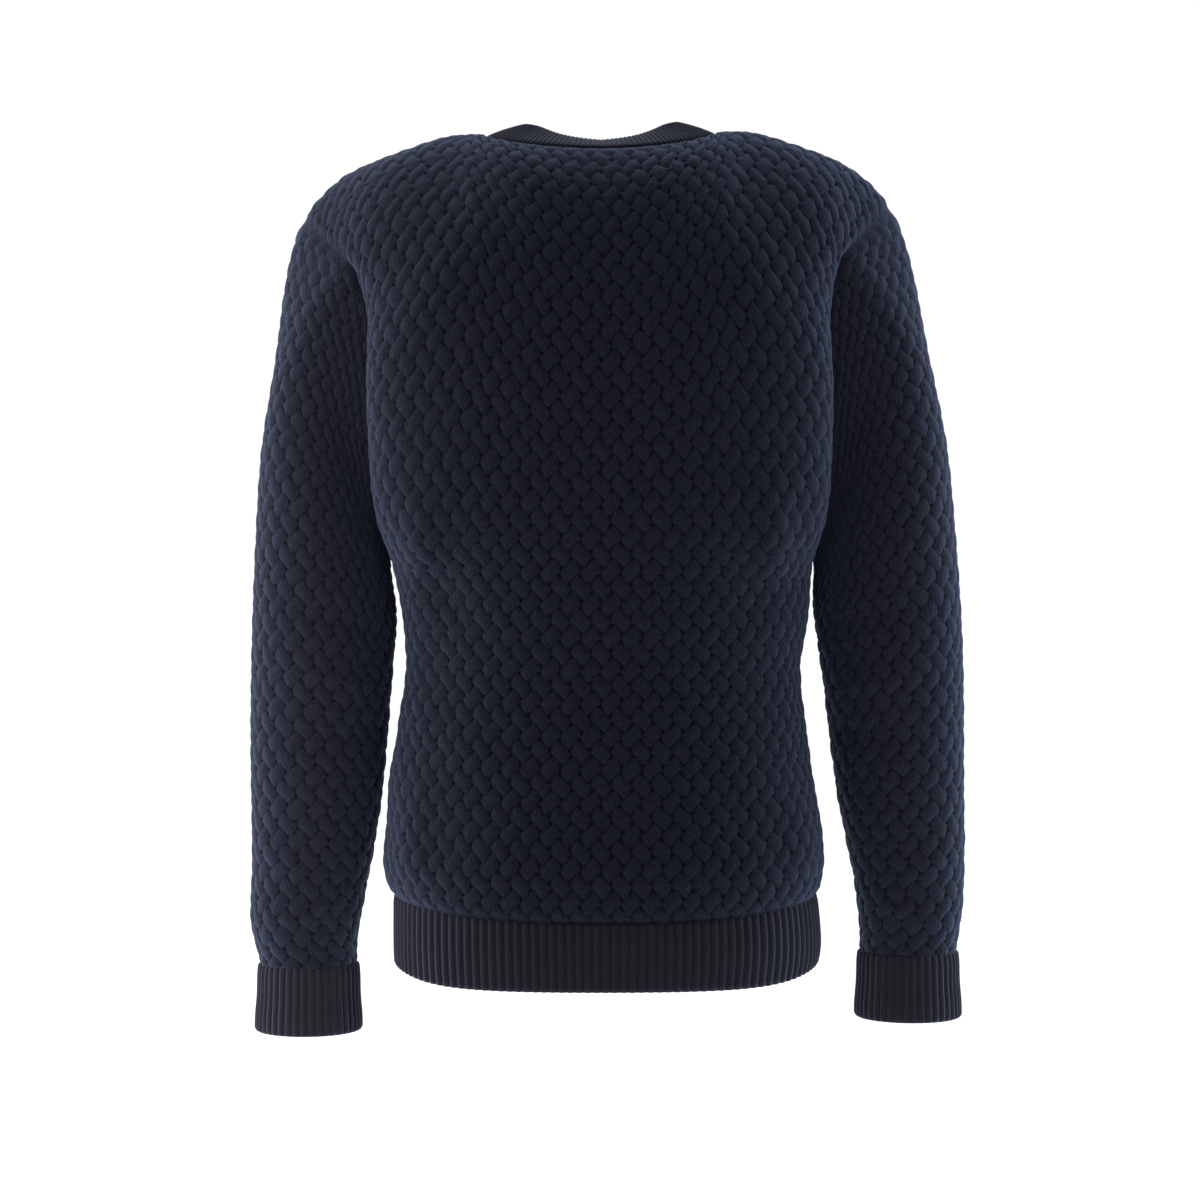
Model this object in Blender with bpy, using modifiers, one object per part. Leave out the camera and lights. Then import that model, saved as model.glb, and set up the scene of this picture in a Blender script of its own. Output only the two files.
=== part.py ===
"""A knitted cardigan in its worn form: V neck, drop shoulders, buttoned front.

Frame: +Z up, the front faces -Y, the back +Y, the wearer's left is +X.
The origin is midway between the two points where the neck seam meets the
shoulder seams. Every table is in millimetres.

Each knitted panel is worked out as one middle surface. Its courses (rows)
come from the section tables, its wales (columns) are smooth curves through
the courses. A wall is then built round that surface: plain inside, and raised
outside where the cables cross or a rib stands. Neighbouring panels share
their seam points, and each stands back a little from the seam.
"""
import math

import bmesh
import bpy
import numpy as np

MM = 0.001

# ---- cloth -----------------------------------------------------------------
WALL_IN = 1.4          # inner face, below the middle of the cloth
GROOVE_OUT = 1.0       # outer face in the grooves between the cables
CREASE_OUT = 0.2       # outer face deep in the crease at the underarm
CABLE_OUT = 3.2        # outer face on top of a cable crossing
RIB_LOW = 0.9          # outer face between two ribs
RIB_HIGH = 2.6         # outer face on a rib
RIB_END = 1.6          # outer face on a rib at the lower edge of the hem
BAND_HALF = 1.8        # half the thickness of the doubled bands
SEAM_PULL = 0.15       # every piece stands back this far from a seam line

# ---- how each panel is divided ----------------------------------------------
SIDE_COLS = 18         # columns from the centre, or from the V edge, to a side
NECK_COLS = 8          # of these, the back's columns that end in the neck seam
LOW_ROWS = 14          # rows from the hem seam to the underarm
TOP_ROWS = 14          # rows from the underarm to the shoulder seam
SLEEVE_ROWS = 28       # rows from the armhole to the cuff
HEM_RIBS = 2           # ribs to each panel column, in the hem
CUFF_FINE = 3          # fine columns to each sleeve column, in the cuff

# ---- body sections below the underarm ---------------------------------------
FULLNESS = 2.35        # exponent of the superellipse: 2 is an ellipse
# height, left half width, right half width, depth of back, depth of front
BODY = (
    (-610, 163.5, 170.5, 110, -112),
    (-578, 170.5, 173.8, 113, -118),
    (-546, 167.5, 171.4, 107, -113),
    (-514, 165.5, 166.6, 102, -108),
    (-482, 158.6, 162.6, 98, -105),
    (-450, 153.0, 158.6, 96, -105),
    (-418, 149.0, 157.0, 97, -107),
    (-386, 152.5, 162.0, 101, -112),
    (-352, 160.5, 164.5, 105, -117),
)
SEAM_RISE = 12         # the hem seam is this much higher at the sides
SEAM_DIP = 6           # and this much below the first height at the centre
HEM_RISE = 11          # the lower edge is this much higher at the sides

# ---- courses above the underarm ---------------------------------------------
# centre height, edge height, centre depth, fold x, fold y, edge x, edge y, V edge x
BACK_LEFT = (
    (-322, -322, 109, 168.5, 32, 163.5, 0, 0),
    (-245, -250, 116, 178.5, 53, 163, 28, 0),
    (-165, -185, 118, 179.0, 60, 166, 41, 0),
    (-98, -124, 107, 186.0, 50, 186, 50, 0),
)
BACK_RIGHT = (
    (-322, -322, 109, 169.5, 32, 164.5, 0, 0),
    (-245, -250, 116, 177.5, 53, 163, 28, 0),
    (-165, -185, 118, 176.5, 60, 165, 41, 0),
    (-98, -118, 107, 181.0, 50, 181, 50, 0),
)
FRONT_LEFT = (
    (-322, -322, -121, 167.0, -32, 163.5, 0, 15),
    (-250, -250, -125, 172.0, -50, 163, -24, 19),
    (-175, -185, -120, 171.0, -60, 165, -41, 41),
    (-95, -122, -97, 180.0, -46, 180, -46, 66),
)
FRONT_RIGHT = (
    (-322, -322, -121, 168.0, -32, 164.5, 0, 15),
    (-250, -250, -125, 172.0, -50, 163, -24, 19),
    (-175, -183, -120, 170.0, -60, 164, -41, 41),
    (-95, -116, -97, 175.0, -46, 175, -46, 66),
)

# ---- neck and shoulders ------------------------------------------------------
NECK_HALF = 93         # half width of the neck at the shoulder seams
NECK_BACK = 58         # depth of the neck seam at the centre back
NECK_DROP = 18         # the neck seam is this much lower at the centre back
SEAM_Y = -5            # the shoulder seam lies just in front of the crest
# distance from the centre, height
SHOULDER_LEFT = ((93, -1), (121, -3), (145, -11), (169, -18.5), (193, -27),
                 (205, -33), (217, -43), (229, -56), (236, -66))
SHOULDER_RIGHT = ((93, 1), (121, 0), (145, -7.5), (169, -14.5), (193, -23.5),
                  (205, -31), (217, -41), (230, -57))
# column, then how the cloth falls away from the top edge: x, y, z
BACK_FALL = ((0, 0, 22, -23), (8, 9, 30, -10), (13, 2, 34, -8), (18, -20, 39, -22))
FRONT_FALL = ((0, -8, -32, -17), (9, 2, -34, -9), (18, -26, -31, -23))
NECK_LEAN = (0, -20, 14)
CORNER_ROUND = 30      # reach of the rounding of the course below the neck corner

# ---- sleeves ------------------------------------------------------------------
# outer height, inner height, outer x, inner x, middle y, half depth, pinch inside
SLEEVE_LEFT = (
    (-185, -345, 259.0, 171.5, -6, 50, 0.30),
    (-240, -366, 268.0, 168.6, -7, 51, 0.22),
    (-300, -387, 273.0, 167.0, -8, 52, 0.12),
    (-410, -447, 278.0, 172.0, -14, 51, 0.0),
    (-520, -536, 280.0, 181.0, -26, 47, 0.0),
    (-600, -608, 281.5, 194.5, -40, 43, 0.0),
    (-642, -644, 281.0, 201.0, -46, 40, 0.0),
    (-660, -660, 276.5, 202.3, -48.5, 38, 0.0),
    (-672, -672, 275.5, 202.5, -50, 37.5, 0.0),
)
SLEEVE_RIGHT = (
    (-178, -345, 260.5, 173.0, -6, 50, 0.30),
    (-240, -366, 273.2, 172.6, -7, 51, 0.22),
    (-300, -387, 280.0, 174.0, -8, 52, 0.12),
    (-410, -447, 288.0, 183.0, -14, 51, 0.0),
    (-520, -536, 290.6, 195.5, -26, 47, 0.0),
    (-595, -602, 292.5, 209.5, -40, 43, 0.0),
    (-632, -634, 290.5, 213.4, -46, 40, 0.0),
    (-650, -650, 288.0, 214.3, -48.5, 38, 0.0),
    (-662, -662, 287.5, 214.5, -50, 37.5, 0.0),
)
RING_SAG = 2.2         # how late the courses of a sleeve fall to the inside
LEAD_ON = 0.5          # how far the sleeve head carries on the line of the shoulder

# ---- hem, cuffs, bands, buttons ---------------------------------------------
# height, left half width, right half width, depth of back, depth of front
HEM = (
    (-640, 163.5, 173.5, 110, -113),
    (-669, 163.0, 171.0, 106, -109),
)
CUFF_BOTTOM_LEFT = -721
CUFF_BOTTOM_RIGHT = -710
CUFF_LIP = 6           # the turned-up edge ends this much above the sleeve seam
CUFF_FLARE = 1.07      # the cuff is wider at the bottom
BAND_WIDTH = 30        # front bands and neckband
# share of the way from the centre back to the shoulder seam, width of band x, y, z
NECKBAND_ACROSS = ((0, 0, -26, 9.5), (0.3, -8, -25, 12.5), (0.6, -22, -21, 15.5),
                   (0.8, -31, -10, 13), (1, -35, 0, 10))
BAND_LIFT = 2.1        # the left band lies over the right one
BAND_CLEAR = 2.0       # a band stands back this many times as far from its seam
LIFT_COLS = 4          # columns over which a front comes up to its band
V_FREE = -190          # above this height the two bands part
BUTTON_HEIGHTS = (-276, -349, -422, -495, -568, -641)
BUTTON_RADIUS = 9.0
BUTTON_GAP = 0.3

# ---- soft vertical folds: panel, x, top, bottom, height, half width ------------
FOLDS = (
    ("back", 144, -275, -600, 5.0, 15),
    ("back", -136, -255, -380, 4.0, 15),
    ("back", -160, -505, -605, 4.0, 16),
    ("front", 128, -290, -560, 4.0, 16),
    ("front", -132, -300, -540, 4.0, 16),
)


# ---- curves --------------------------------------------------------------------
def spline(knots, values, at):
    """Natural cubic spline through values at knots, read at the numbers in at."""
    t = np.asarray(knots, float)
    v = np.asarray(values, float)
    q = np.asarray(at, float)
    n = len(t)
    h = np.diff(t)
    flat = v.reshape(n, -1)
    matrix = np.eye(n)
    right = np.zeros_like(flat)
    for k in range(1, n - 1):
        matrix[k, k - 1] = h[k - 1]
        matrix[k, k] = 2 * (h[k - 1] + h[k])
        matrix[k, k + 1] = h[k]
        slope_up = (flat[k + 1] - flat[k]) / h[k]
        slope_down = (flat[k] - flat[k - 1]) / h[k - 1]
        right[k] = 6 * (slope_up - slope_down)
    curve = np.linalg.solve(matrix, right)
    k = np.clip(np.searchsorted(t, q, side="right") - 1, 0, n - 2)
    a = (t[k + 1] - q)[:, None]
    b = (q - t[k])[:, None]
    w = h[k][:, None]
    out = (curve[k] * a ** 3 + curve[k + 1] * b ** 3) / (6 * w)
    out += (flat[k] / w - curve[k] * w / 6) * a
    out += (flat[k + 1] / w - curve[k + 1] * w / 6) * b
    return out.reshape((len(q),) + v.shape[1:])


def lengths(line):
    """Running length along a line of points."""
    steps = np.linalg.norm(np.diff(line, axis=0), axis=1)
    return np.concatenate(([0.0], np.cumsum(steps)))


def resample(line, parts):
    """The same line in equal steps of length."""
    run = lengths(line)
    at = np.linspace(0.0, run[-1], parts + 1)
    return np.stack([np.interp(at, run, line[:, k]) for k in range(3)], axis=1)


def unit(vectors):
    size = np.linalg.norm(vectors, axis=-1, keepdims=True)
    return vectors / np.maximum(size, 1e-9)


def smooth(x):
    x = np.clip(x, 0.0, 1.0)
    return x * x * (3 - 2 * x)


# ---- courses -------------------------------------------------------------------
def low_course(row, side, face, first):
    """Half a level course from the centre to the side seam, dense."""
    height, left, right, back, front = row
    width = left if side > 0 else right
    depth = back if face == "back" else front
    angle = np.linspace(0.0, math.pi / 2, 161)
    power = 2 / FULLNESS
    x = width * np.sin(angle) ** power
    y = depth * np.cos(angle) ** power
    z = np.full_like(x, height)
    if first:
        z = height - SEAM_DIP + SEAM_RISE * (x / width) ** 3
    return np.stack((side * x, y, z), axis=1)


def high_course(row, side):
    """Half a course above the underarm, round the fold and in to the armhole."""
    centre_z, edge_z, centre_y, fold_x, fold_y, edge_x, edge_y, _ = row
    angle = np.linspace(0.0, math.pi / 2, 161)
    power = 2 / FULLNESS
    x = fold_x * np.sin(angle) ** power
    y = fold_y + (centre_y - fold_y) * np.cos(angle) ** power
    if fold_x > edge_x:
        back = np.linspace(0.0, 1.0, 30)[1:]
        x = np.concatenate((x, fold_x - (fold_x - edge_x) * back ** 2))
        y = np.concatenate((y, fold_y - (fold_y - edge_y) * back))
    line = np.stack((side * x, y, np.zeros_like(x)), axis=1)
    run = lengths(line)
    line[:, 2] = centre_z + (edge_z - centre_z) * (run / run[-1]) ** 2.5
    return line


def from_v_edge(line, edge):
    """The part of a half course outside the V edge."""
    x = np.abs(line[:, 0])
    if edge <= 0:
        return line
    k = int(np.argmax(x > edge))
    share = (edge - x[k - 1]) / (x[k] - x[k - 1])
    start = line[k - 1] + share * (line[k] - line[k - 1])
    return np.vstack((start[None, :], line[k:]))


def shoulder_line(side, parts):
    table = np.array(SHOULDER_LEFT if side > 0 else SHOULDER_RIGHT, float)
    x = np.linspace(table[0, 0], table[-1, 0], 121)
    z = spline(table[:, 0], table[:, 1], x)
    line = np.stack((side * x, np.full_like(x, SEAM_Y), z), axis=1)
    return resample(line, parts)


def neck_line(side, parts):
    """Half of the neck seam, from the centre back to the shoulder seam."""
    table = SHOULDER_LEFT if side > 0 else SHOULDER_RIGHT
    middle = (SHOULDER_LEFT[0][1] + SHOULDER_RIGHT[0][1]) / 2 - NECK_DROP
    angle = np.linspace(0.0, math.pi / 2, 121)
    x = NECK_HALF * np.sin(angle)
    y = SEAM_Y + (NECK_BACK - SEAM_Y) * np.cos(angle)
    share = np.cos(angle) ** 1.6
    z = table[0][1] * (1 - share) + middle * share
    return resample(np.stack((side * x, y, z), axis=1), parts)


def fall(table, side, count):
    """How the cloth falls away from the top edge, read at count + 1 columns."""
    rows = np.array(table, float)
    at = np.linspace(rows[0, 0], rows[-1, 0], count + 1)
    out = spline(rows[:, 0], rows[:, 1:], at)
    out[:, 0] *= side
    return out


def soften(line, side, face, cols):
    """Round off the corner that a course would take below the neck corner."""
    if face == "front":
        return line
    run = lengths(line)
    dense = resample(line, 180)
    mirror = dense[1:61][::-1] * np.array((-1.0, 1.0, 1.0))
    ahead = dense[-1] + (dense[-1] - dense[-61:-1][::-1])
    long_line = np.vstack((mirror, dense, ahead))
    reach = np.arange(-60, 61) * run[-1] / 180
    weight = np.exp(-((reach / CORNER_ROUND) ** 2))
    weight /= weight.sum()
    soft = np.stack([np.convolve(long_line[:, k], weight, "valid") for k in range(3)],
                    axis=1)
    return resample(soft, cols)


# ---- panels --------------------------------------------------------------------
def half_panel(side, face, fine):
    """Middle surface of half the back, or of one front: points[row, column].

    fine is how many columns and rows stand for one of the plain grid.
    """
    cols = SIDE_COLS * fine
    levels = []
    for k, row in enumerate(BODY):
        line = low_course(row, side, face, k == 0)
        if face == "front":
            line = from_v_edge(line, BAND_WIDTH / 2)
        levels.append(resample(line, cols))
    underarm = len(levels)
    if face == "back":
        high = BACK_LEFT if side > 0 else BACK_RIGHT
    else:
        high = FRONT_LEFT if side > 0 else FRONT_RIGHT
    for row in high:
        levels.append(resample(from_v_edge(high_course(row, side), row[-1]), cols))
    if face == "back":
        neck = neck_line(side, NECK_COLS * fine)
        shoulder = shoulder_line(side, (SIDE_COLS - NECK_COLS) * fine)
        top = np.vstack((neck, shoulder[1:]))
        away = fall(BACK_FALL, side, cols)
        beyond = fall(FRONT_FALL, side, (SIDE_COLS - NECK_COLS) * fine)
        lean = np.array(NECK_LEAN, float)
        first = np.linspace(0, 1, NECK_COLS * fine + 1)[:, None] ** 3
        beyond = np.vstack((lean * (1 - first) + beyond[0] * first, beyond[1:]))
    else:
        top = shoulder_line(side, cols)
        away = fall(FRONT_FALL, side, cols)
        beyond = fall(BACK_FALL[1:], side, cols)
    levels += [soften(top + away, side, face, cols), top, top + beyond]
    levels = np.array(levels)
    steps = np.linalg.norm(np.diff(levels, axis=0), axis=2).mean(axis=1)
    knots = np.concatenate(([0.0], np.cumsum(steps)))
    low = spline(knots, levels, np.linspace(0, knots[underarm], 121))
    up = spline(knots, levels, np.linspace(knots[underarm], knots[-2], 121))
    grid = np.zeros(((LOW_ROWS + TOP_ROWS) * fine + 1, cols + 1, 3))
    for i in range(cols + 1):
        lower = resample(low[:, i], LOW_ROWS * fine)
        upper = resample(up[:, i], TOP_ROWS * fine)
        grid[:, i] = np.vstack((lower, upper[1:]))
    return grid


def normals(grid, flip, wrap=False):
    """Outward directions of a grid of points."""
    if wrap:
        across = np.roll(grid, -1, axis=1) - np.roll(grid, 1, axis=1)
    else:
        across = np.gradient(grid, axis=1)
    along = np.gradient(grid, axis=0)
    out = unit(np.cross(across, along))
    return -out if flip else out


def add_folds(grid, out, face):
    """Long soft ridges that the worn cloth makes, moved out along the normals."""
    x, z = grid[..., 0], grid[..., 2]
    height = np.zeros_like(x)
    for panel, middle, top, bottom, rise, half in FOLDS:
        if panel != face:
            continue
        sway = 4 * np.sin((z - bottom) / 55.0)
        ends = smooth((top - z) / 60.0) * smooth((z - bottom) / 40.0)
        height += rise * ends * np.exp(-(((x - middle - sway) / half) ** 2))
    return grid + out * height[..., None]


def lift_front(grid, out, side, fine):
    """The left front comes out, and the right goes in, to their bands."""
    cols = np.arange(grid.shape[1])[None, :] / (LIFT_COLS * fine)
    share = 1 - smooth(np.broadcast_to(cols, grid.shape[:2]))
    edge_z = grid[:, :1, 2]
    share = share * smooth((20.0 - (edge_z - V_FREE)) / 60.0)
    return grid + out * (side * BAND_LIFT * share)[..., None]


def body_panels(fine=1):
    """Middle surfaces and normals of the back and the two fronts."""
    left = half_panel(1, "back", fine)
    right = half_panel(-1, "back", fine)
    back = np.concatenate((right[:, ::-1], left[:, 1:]), axis=1)
    middle = right.shape[1] - 1
    back[:, middle] = (right[:, 0] + left[:, 0]) / 2
    panels = {"back": back,
              "left_front": half_panel(1, "front", fine),
              "right_front": half_panel(-1, "front", fine)}
    low = LOW_ROWS * fine
    for front, column in (("left_front", -1), ("right_front", 0)):
        seam = (back[:low + 1, column] + panels[front][:low + 1, -1]) / 2
        seam[:, 1] = 0.0
        back[:low + 1, column] = seam
        panels[front][:low + 1, -1] = seam
    flips = {"back": True, "left_front": False, "right_front": True}
    for name, grid in panels.items():
        out = normals(grid, flips[name])
        keep = grid.copy()
        grid = add_folds(grid, out, "back" if name == "back" else "front")
        fade = smooth(np.minimum(np.arange(grid.shape[1]),
                                 np.arange(grid.shape[1])[::-1]) / (2.0 * fine))
        grid = keep + (grid - keep) * fade[None, :, None]
        if name == "left_front":
            grid = lift_front(grid, out, 1, fine)
        if name == "right_front":
            grid = lift_front(grid, out, -1, fine)
        panels[name] = grid
    outs = {name: normals(grid, flips[name]) for name, grid in panels.items()}
    for front, column in (("left_front", -1), ("right_front", 0)):
        shared = unit(outs["back"][:low + 1, column] + outs[front][:low + 1, -1])
        outs["back"][:low + 1, column] = shared
        outs[front][:low + 1, -1] = shared
    for name in panels:
        top = outs[name][-1]
        seam = np.abs(panels[name][-1, :, 1] - SEAM_Y) < 0.01
        top[seam, 1] = 0.0
        outs[name][-1] = unit(top)
    return panels, outs


# ---- sleeves -------------------------------------------------------------------
def armhole(panels, side, fine):
    """The armhole as a ring: shoulder point, down the back, up the front."""
    low = LOW_ROWS * fine
    back = panels["back"][low:, -1 if side > 0 else 0]
    front = panels["left_front" if side > 0 else "right_front"][low:, -1]
    return np.vstack((back[::-1], front[1:-1]))


def inner_ring(panels, side, fine):
    """The same ring two columns inside the body, which leads the sleeve on."""
    low = LOW_ROWS * fine
    step = 2 * fine
    back = panels["back"][low:, -1 - step if side > 0 else step]
    front = panels["left_front" if side > 0 else "right_front"][low:, -1 - step]
    return np.vstack((back[::-1], front[1:-1]))


def tube_ring(row, side, count):
    outer_z, inner_z, outer_x, inner_x, middle_y, depth, pinch = row
    angle = 2 * math.pi * np.arange(count) / count
    x = (outer_x + inner_x) / 2 + (outer_x - inner_x) / 2 * np.cos(angle)
    inside = (1 - np.cos(angle)) / 2
    y = middle_y + depth * np.sin(angle) * (1 - pinch * inside)
    z = outer_z + (inner_z - outer_z) * inside ** RING_SAG
    return np.stack((side * x, y, z), axis=1)


def sleeve(panels, side, fine=1):
    """Middle surface of a sleeve: rows from the armhole, columns round it."""
    table = SLEEVE_LEFT if side > 0 else SLEEVE_RIGHT
    ring = armhole(panels, side, fine)
    count = len(ring)
    rings = [ring] + [tube_ring(row, side, count) for row in table]
    rings = np.array(rings)
    turn = np.minimum(np.arange(count), count - np.arange(count)) / fine
    share = (1 - smooth(turn / 6.0))[:, None]
    lead = inner_ring(panels, side, fine)
    straight = ring - 0.25 * (rings[1] - ring)
    before = lead * share * LEAD_ON + straight * (1 - share * LEAD_ON)
    levels = np.concatenate((before[None], rings))
    steps = np.linalg.norm(np.diff(levels[:, 0], axis=0), axis=1)
    knots = np.concatenate(([0.0], np.cumsum(steps)))
    at = np.linspace(knots[1], knots[-1], SLEEVE_ROWS * fine + 1)
    grid = spline(knots, levels, at)
    out = normals(grid, side > 0, wrap=True)
    return grid, out


def share_armhole(panels, outs, sleeves, fine=1):
    """Body and sleeve take the same normals along the armhole."""
    low = LOW_ROWS * fine
    top = TOP_ROWS * fine
    for side in (1, -1):
        ring = sleeves[side][1][0]
        column = -1 if side > 0 else 0
        front = outs["left_front" if side > 0 else "right_front"]
        back = outs["back"]
        for i in range(len(ring)):
            own = ring[i]
            if i == top:
                own = sleeves[side][1][1, i]
            if i == 0:
                both = own + back[-1, column] + front[-1, -1]
                both[1] = 0.0
            elif i < top:
                both = own + back[low + top - i, column]
            elif i == top:
                both = 2 * own + back[low, column] + front[low, -1]
            else:
                both = own + front[low + i - top, -1]
            both = unit(both)
            ring[i] = both
            if i <= top:
                back[low + top - i, column] = both
            if i >= top or i == 0:
                front[low + (i - top if i else top), -1] = both


# ---- walls ---------------------------------------------------------------------
def pull(points, outs, sign):
    """In-surface step away from a seam line; sign turns it to the inside."""
    run = np.gradient(points, axis=0)
    return sign * SEAM_PULL * unit(np.cross(outs, unit(run)))


def stand_back(grid, out, edges, much=1.0):
    """Move the named edges of a grid away from their seams."""
    moved = grid.copy()
    for edge, line in (("first_row", 0), ("last_row", -1)):
        if edge in edges:
            step = pull(grid[line], out[line], 1)
            inward = grid[1 if line == 0 else -2] - grid[line]
            sign = np.sign(np.sum(step * inward, axis=1, keepdims=True))
            moved[line] += step * sign * much
    for edge, line in (("first_column", 0), ("last_column", -1)):
        if edge in edges:
            step = pull(grid[:, line], out[:, line], 1)
            inward = grid[:, 1 if line == 0 else -2] - grid[:, line]
            sign = np.sign(np.sum(step * inward, axis=1, keepdims=True))
            moved[:, line] += step * sign * much
    return moved


def stitch(faces, outer, inner):
    """Join a run of outer points to a run of fewer inner points.

    The inner run holds None where it skips a point.
    """
    if len(inner) < len(outer):
        ratio = (len(outer) - 1) // (len(inner) - 1)
        spread = [None] * len(outer)
        spread[::ratio] = inner
        inner = spread
    kept = [k for k, point in enumerate(inner) if point is not None]
    for first, last in zip(kept[:-1], kept[1:]):
        run = outer[first:last + 1]
        a, b = inner[first], inner[last]
        half = max((len(run) - 1) // 2, 1)
        for m in range(len(run) - 1):
            tip = a if m < half else b
            faces.append((run[m], run[m + 1], tip))
            if m == half - 1:
                faces.append((run[m + 1], b, a))


def inside_faces(faces, at, rows, last, cols, step):
    """Faces of the plain inner side. at holds -1 where a point is skipped."""
    for j in range(0, rows - 1, step[0]):
        for i in range(0, last, step[1]):
            low, high = j + step[0], i + step[1]
            block = [(r, c) for r in range(j, low + 1) for c in range(i, high + 1)]
            if all(at[r, c % cols] >= 0 for r, c in block):
                for r in range(j, low):
                    for c in range(i, high):
                        a, b = at[r, c], at[r, (c + 1) % cols]
                        d, e = at[r + 1, c], at[r + 1, (c + 1) % cols]
                        faces += [(a, e, b), (a, d, e)]
                continue
            rim = [(j, c) for c in range(i, high)] + [(r, high) for r in range(j, low)]
            rim += [(low, c) for c in range(high, i, -1)]
            rim += [(r, i) for r in range(low, j, -1)]
            ring = [at[r, c % cols] for r, c in rim if at[r, c % cols] >= 0]
            if len(ring) == 4:
                faces += [(ring[0], ring[2], ring[1]), (ring[0], ring[3], ring[2])]
            else:
                middle = at[j + step[0] // 2, (i + step[1] // 2) % cols]
                for k, point in enumerate(ring):
                    faces.append((middle, ring[(k + 1) % len(ring)], point))


def kept_inside(rows, last, cols, step, dense):
    """Which grid points the inner face takes; all of them where dense asks."""
    keep = np.zeros((rows, cols), bool)
    keep[::step[0], ::step[1]] = True
    blocks = [(j, i) for j in range(0, rows - 1, step[0]) for i in range(0, last, step[1])]
    if dense is not None:
        for j, i in blocks:
            columns = np.arange(i, i + step[1] + 1) % cols
            if dense[j:j + step[0] + 1, columns].any():
                keep[j:j + step[0] + 1, columns] = True
        for j, i in blocks:
            columns = np.arange(i, i + step[1] + 1) % cols
            if keep[j:j + step[0] + 1, columns].sum() > 4:
                keep[j + step[0] // 2, (i + step[1] // 2) % cols] = True
    return keep


def wall(name, grid, out, raise_out, drop_in, step, material, wrap=False, dense=None):
    """A closed wall round a middle surface.

    raise_out is the outer height at each grid point. The inner face is plain
    and takes every step-th point, so step is (rows, columns), but every point
    where dense is true.
    """
    rows, cols = grid.shape[:2]
    outer = grid + out * raise_out[..., None]
    inner = grid - out * drop_in
    points = [tuple(p) for p in outer.reshape(-1, 3)]
    outer_at = np.arange(rows * cols).reshape(rows, cols)
    last = cols if wrap else cols - 1
    keep = kept_inside(rows, last, cols, step, dense)
    inner_at = np.full((rows, cols), -1)
    inner_at[keep] = len(points) + np.arange(keep.sum())
    points += [tuple(p) for p in inner[keep]]
    faces = []
    for j in range(rows - 1):
        for i in range(last):
            n = (i + 1) % cols
            a, b = outer_at[j, i], outer_at[j, n]
            c, d = outer_at[j + 1, n], outer_at[j + 1, i]
            high_ac = raise_out[j, i] + raise_out[j + 1, n]
            high_bd = raise_out[j, n] + raise_out[j + 1, i]
            if high_ac > high_bd:
                faces += [(a, b, d), (b, c, d)]
            else:
                faces += [(a, b, c), (a, c, d)]
    inside_faces(faces, inner_at, rows, last, cols, step)
    for j in (0, rows - 1):
        run = list(outer_at[j])
        low = [k if k >= 0 else None for k in inner_at[j]]
        if wrap:
            run.append(run[0])
            low.append(low[0])
        stitch(faces, run, low)
    if not wrap:
        for i in (0, cols - 1):
            low = [k if k >= 0 else None for k in inner_at[:, i]]
            stitch(faces, list(outer_at[:, i]), low)
    return solid(name, points, faces, material)


def solid(name, points, faces, material):
    """One closed mesh object, faces turned out, from points in millimetres."""
    mesh = bpy.data.meshes.new(name)
    scaled = [(p[0] * MM, p[1] * MM, p[2] * MM) for p in points]
    mesh.from_pydata(scaled, [], [tuple(int(k) for k in f) for f in faces])
    mesh.update()
    turn_out(mesh)
    mesh.materials.append(material)
    piece = bpy.data.objects.new(name, mesh)
    GARMENT.objects.link(piece)
    return piece


def turn_out(mesh):
    work = bmesh.new()
    work.from_mesh(mesh)
    bmesh.ops.recalc_face_normals(work, faces=work.faces)
    if work.calc_volume(signed=True) < 0:
        bmesh.ops.reverse_faces(work, faces=work.faces)
    work.to_mesh(mesh)
    work.free()
    mesh.update()


def basket(rows, cols, wrap=False, quiet=None):
    """Outer heights of the basket cable: a crossing at every second point."""
    j, i = np.meshgrid(np.arange(rows), np.arange(cols), indexing="ij")
    high = (i + j) % 2 == 0
    high[0] = False
    high[-1] = False
    if not wrap:
        high[:, 0] = False
        high[:, -1] = False
    if quiet is not None:
        high &= ~quiet
    return np.where(high, CABLE_OUT, GROOVE_OUT)


# ---- materials -----------------------------------------------------------------
def material(name, colour, roughness, metallic=0.0):
    made = bpy.data.materials.new(name)
    made.use_nodes = True
    shader = made.node_tree.nodes["Principled BSDF"]
    shader.inputs["Base Color"].default_value = (*colour, 1.0)
    shader.inputs["Roughness"].default_value = roughness
    shader.inputs["Metallic"].default_value = metallic
    made.diffuse_color = (*colour, 1.0)
    return made


# ---- pieces --------------------------------------------------------------------
def make_body(panels, outs):
    rows = LOW_ROWS + TOP_ROWS + 1
    edges = ("first_row", "last_row", "first_column", "last_column")
    for name, grid in panels.items():
        cols = grid.shape[1]
        j, i = np.meshgrid(np.arange(rows), np.arange(cols), indexing="ij")
        from_side = cols - 1 - i
        if name == "back":
            from_side = np.minimum(i, cols - 1 - i)
        quiet = (from_side <= 1) & (j > LOW_ROWS - 3)
        heights = basket(rows, cols, quiet=quiet)
        crease = (from_side <= 1) & (j >= LOW_ROWS - 1) & (j <= LOW_ROWS + 6)
        heights[crease] = CREASE_OUT
        moved = stand_back(grid, outs[name], edges)
        dense = (from_side <= 4) & (j >= LOW_ROWS - 5)
        wall(name, moved, outs[name], heights, WALL_IN, (2, 2), KNIT, dense=dense)


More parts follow.
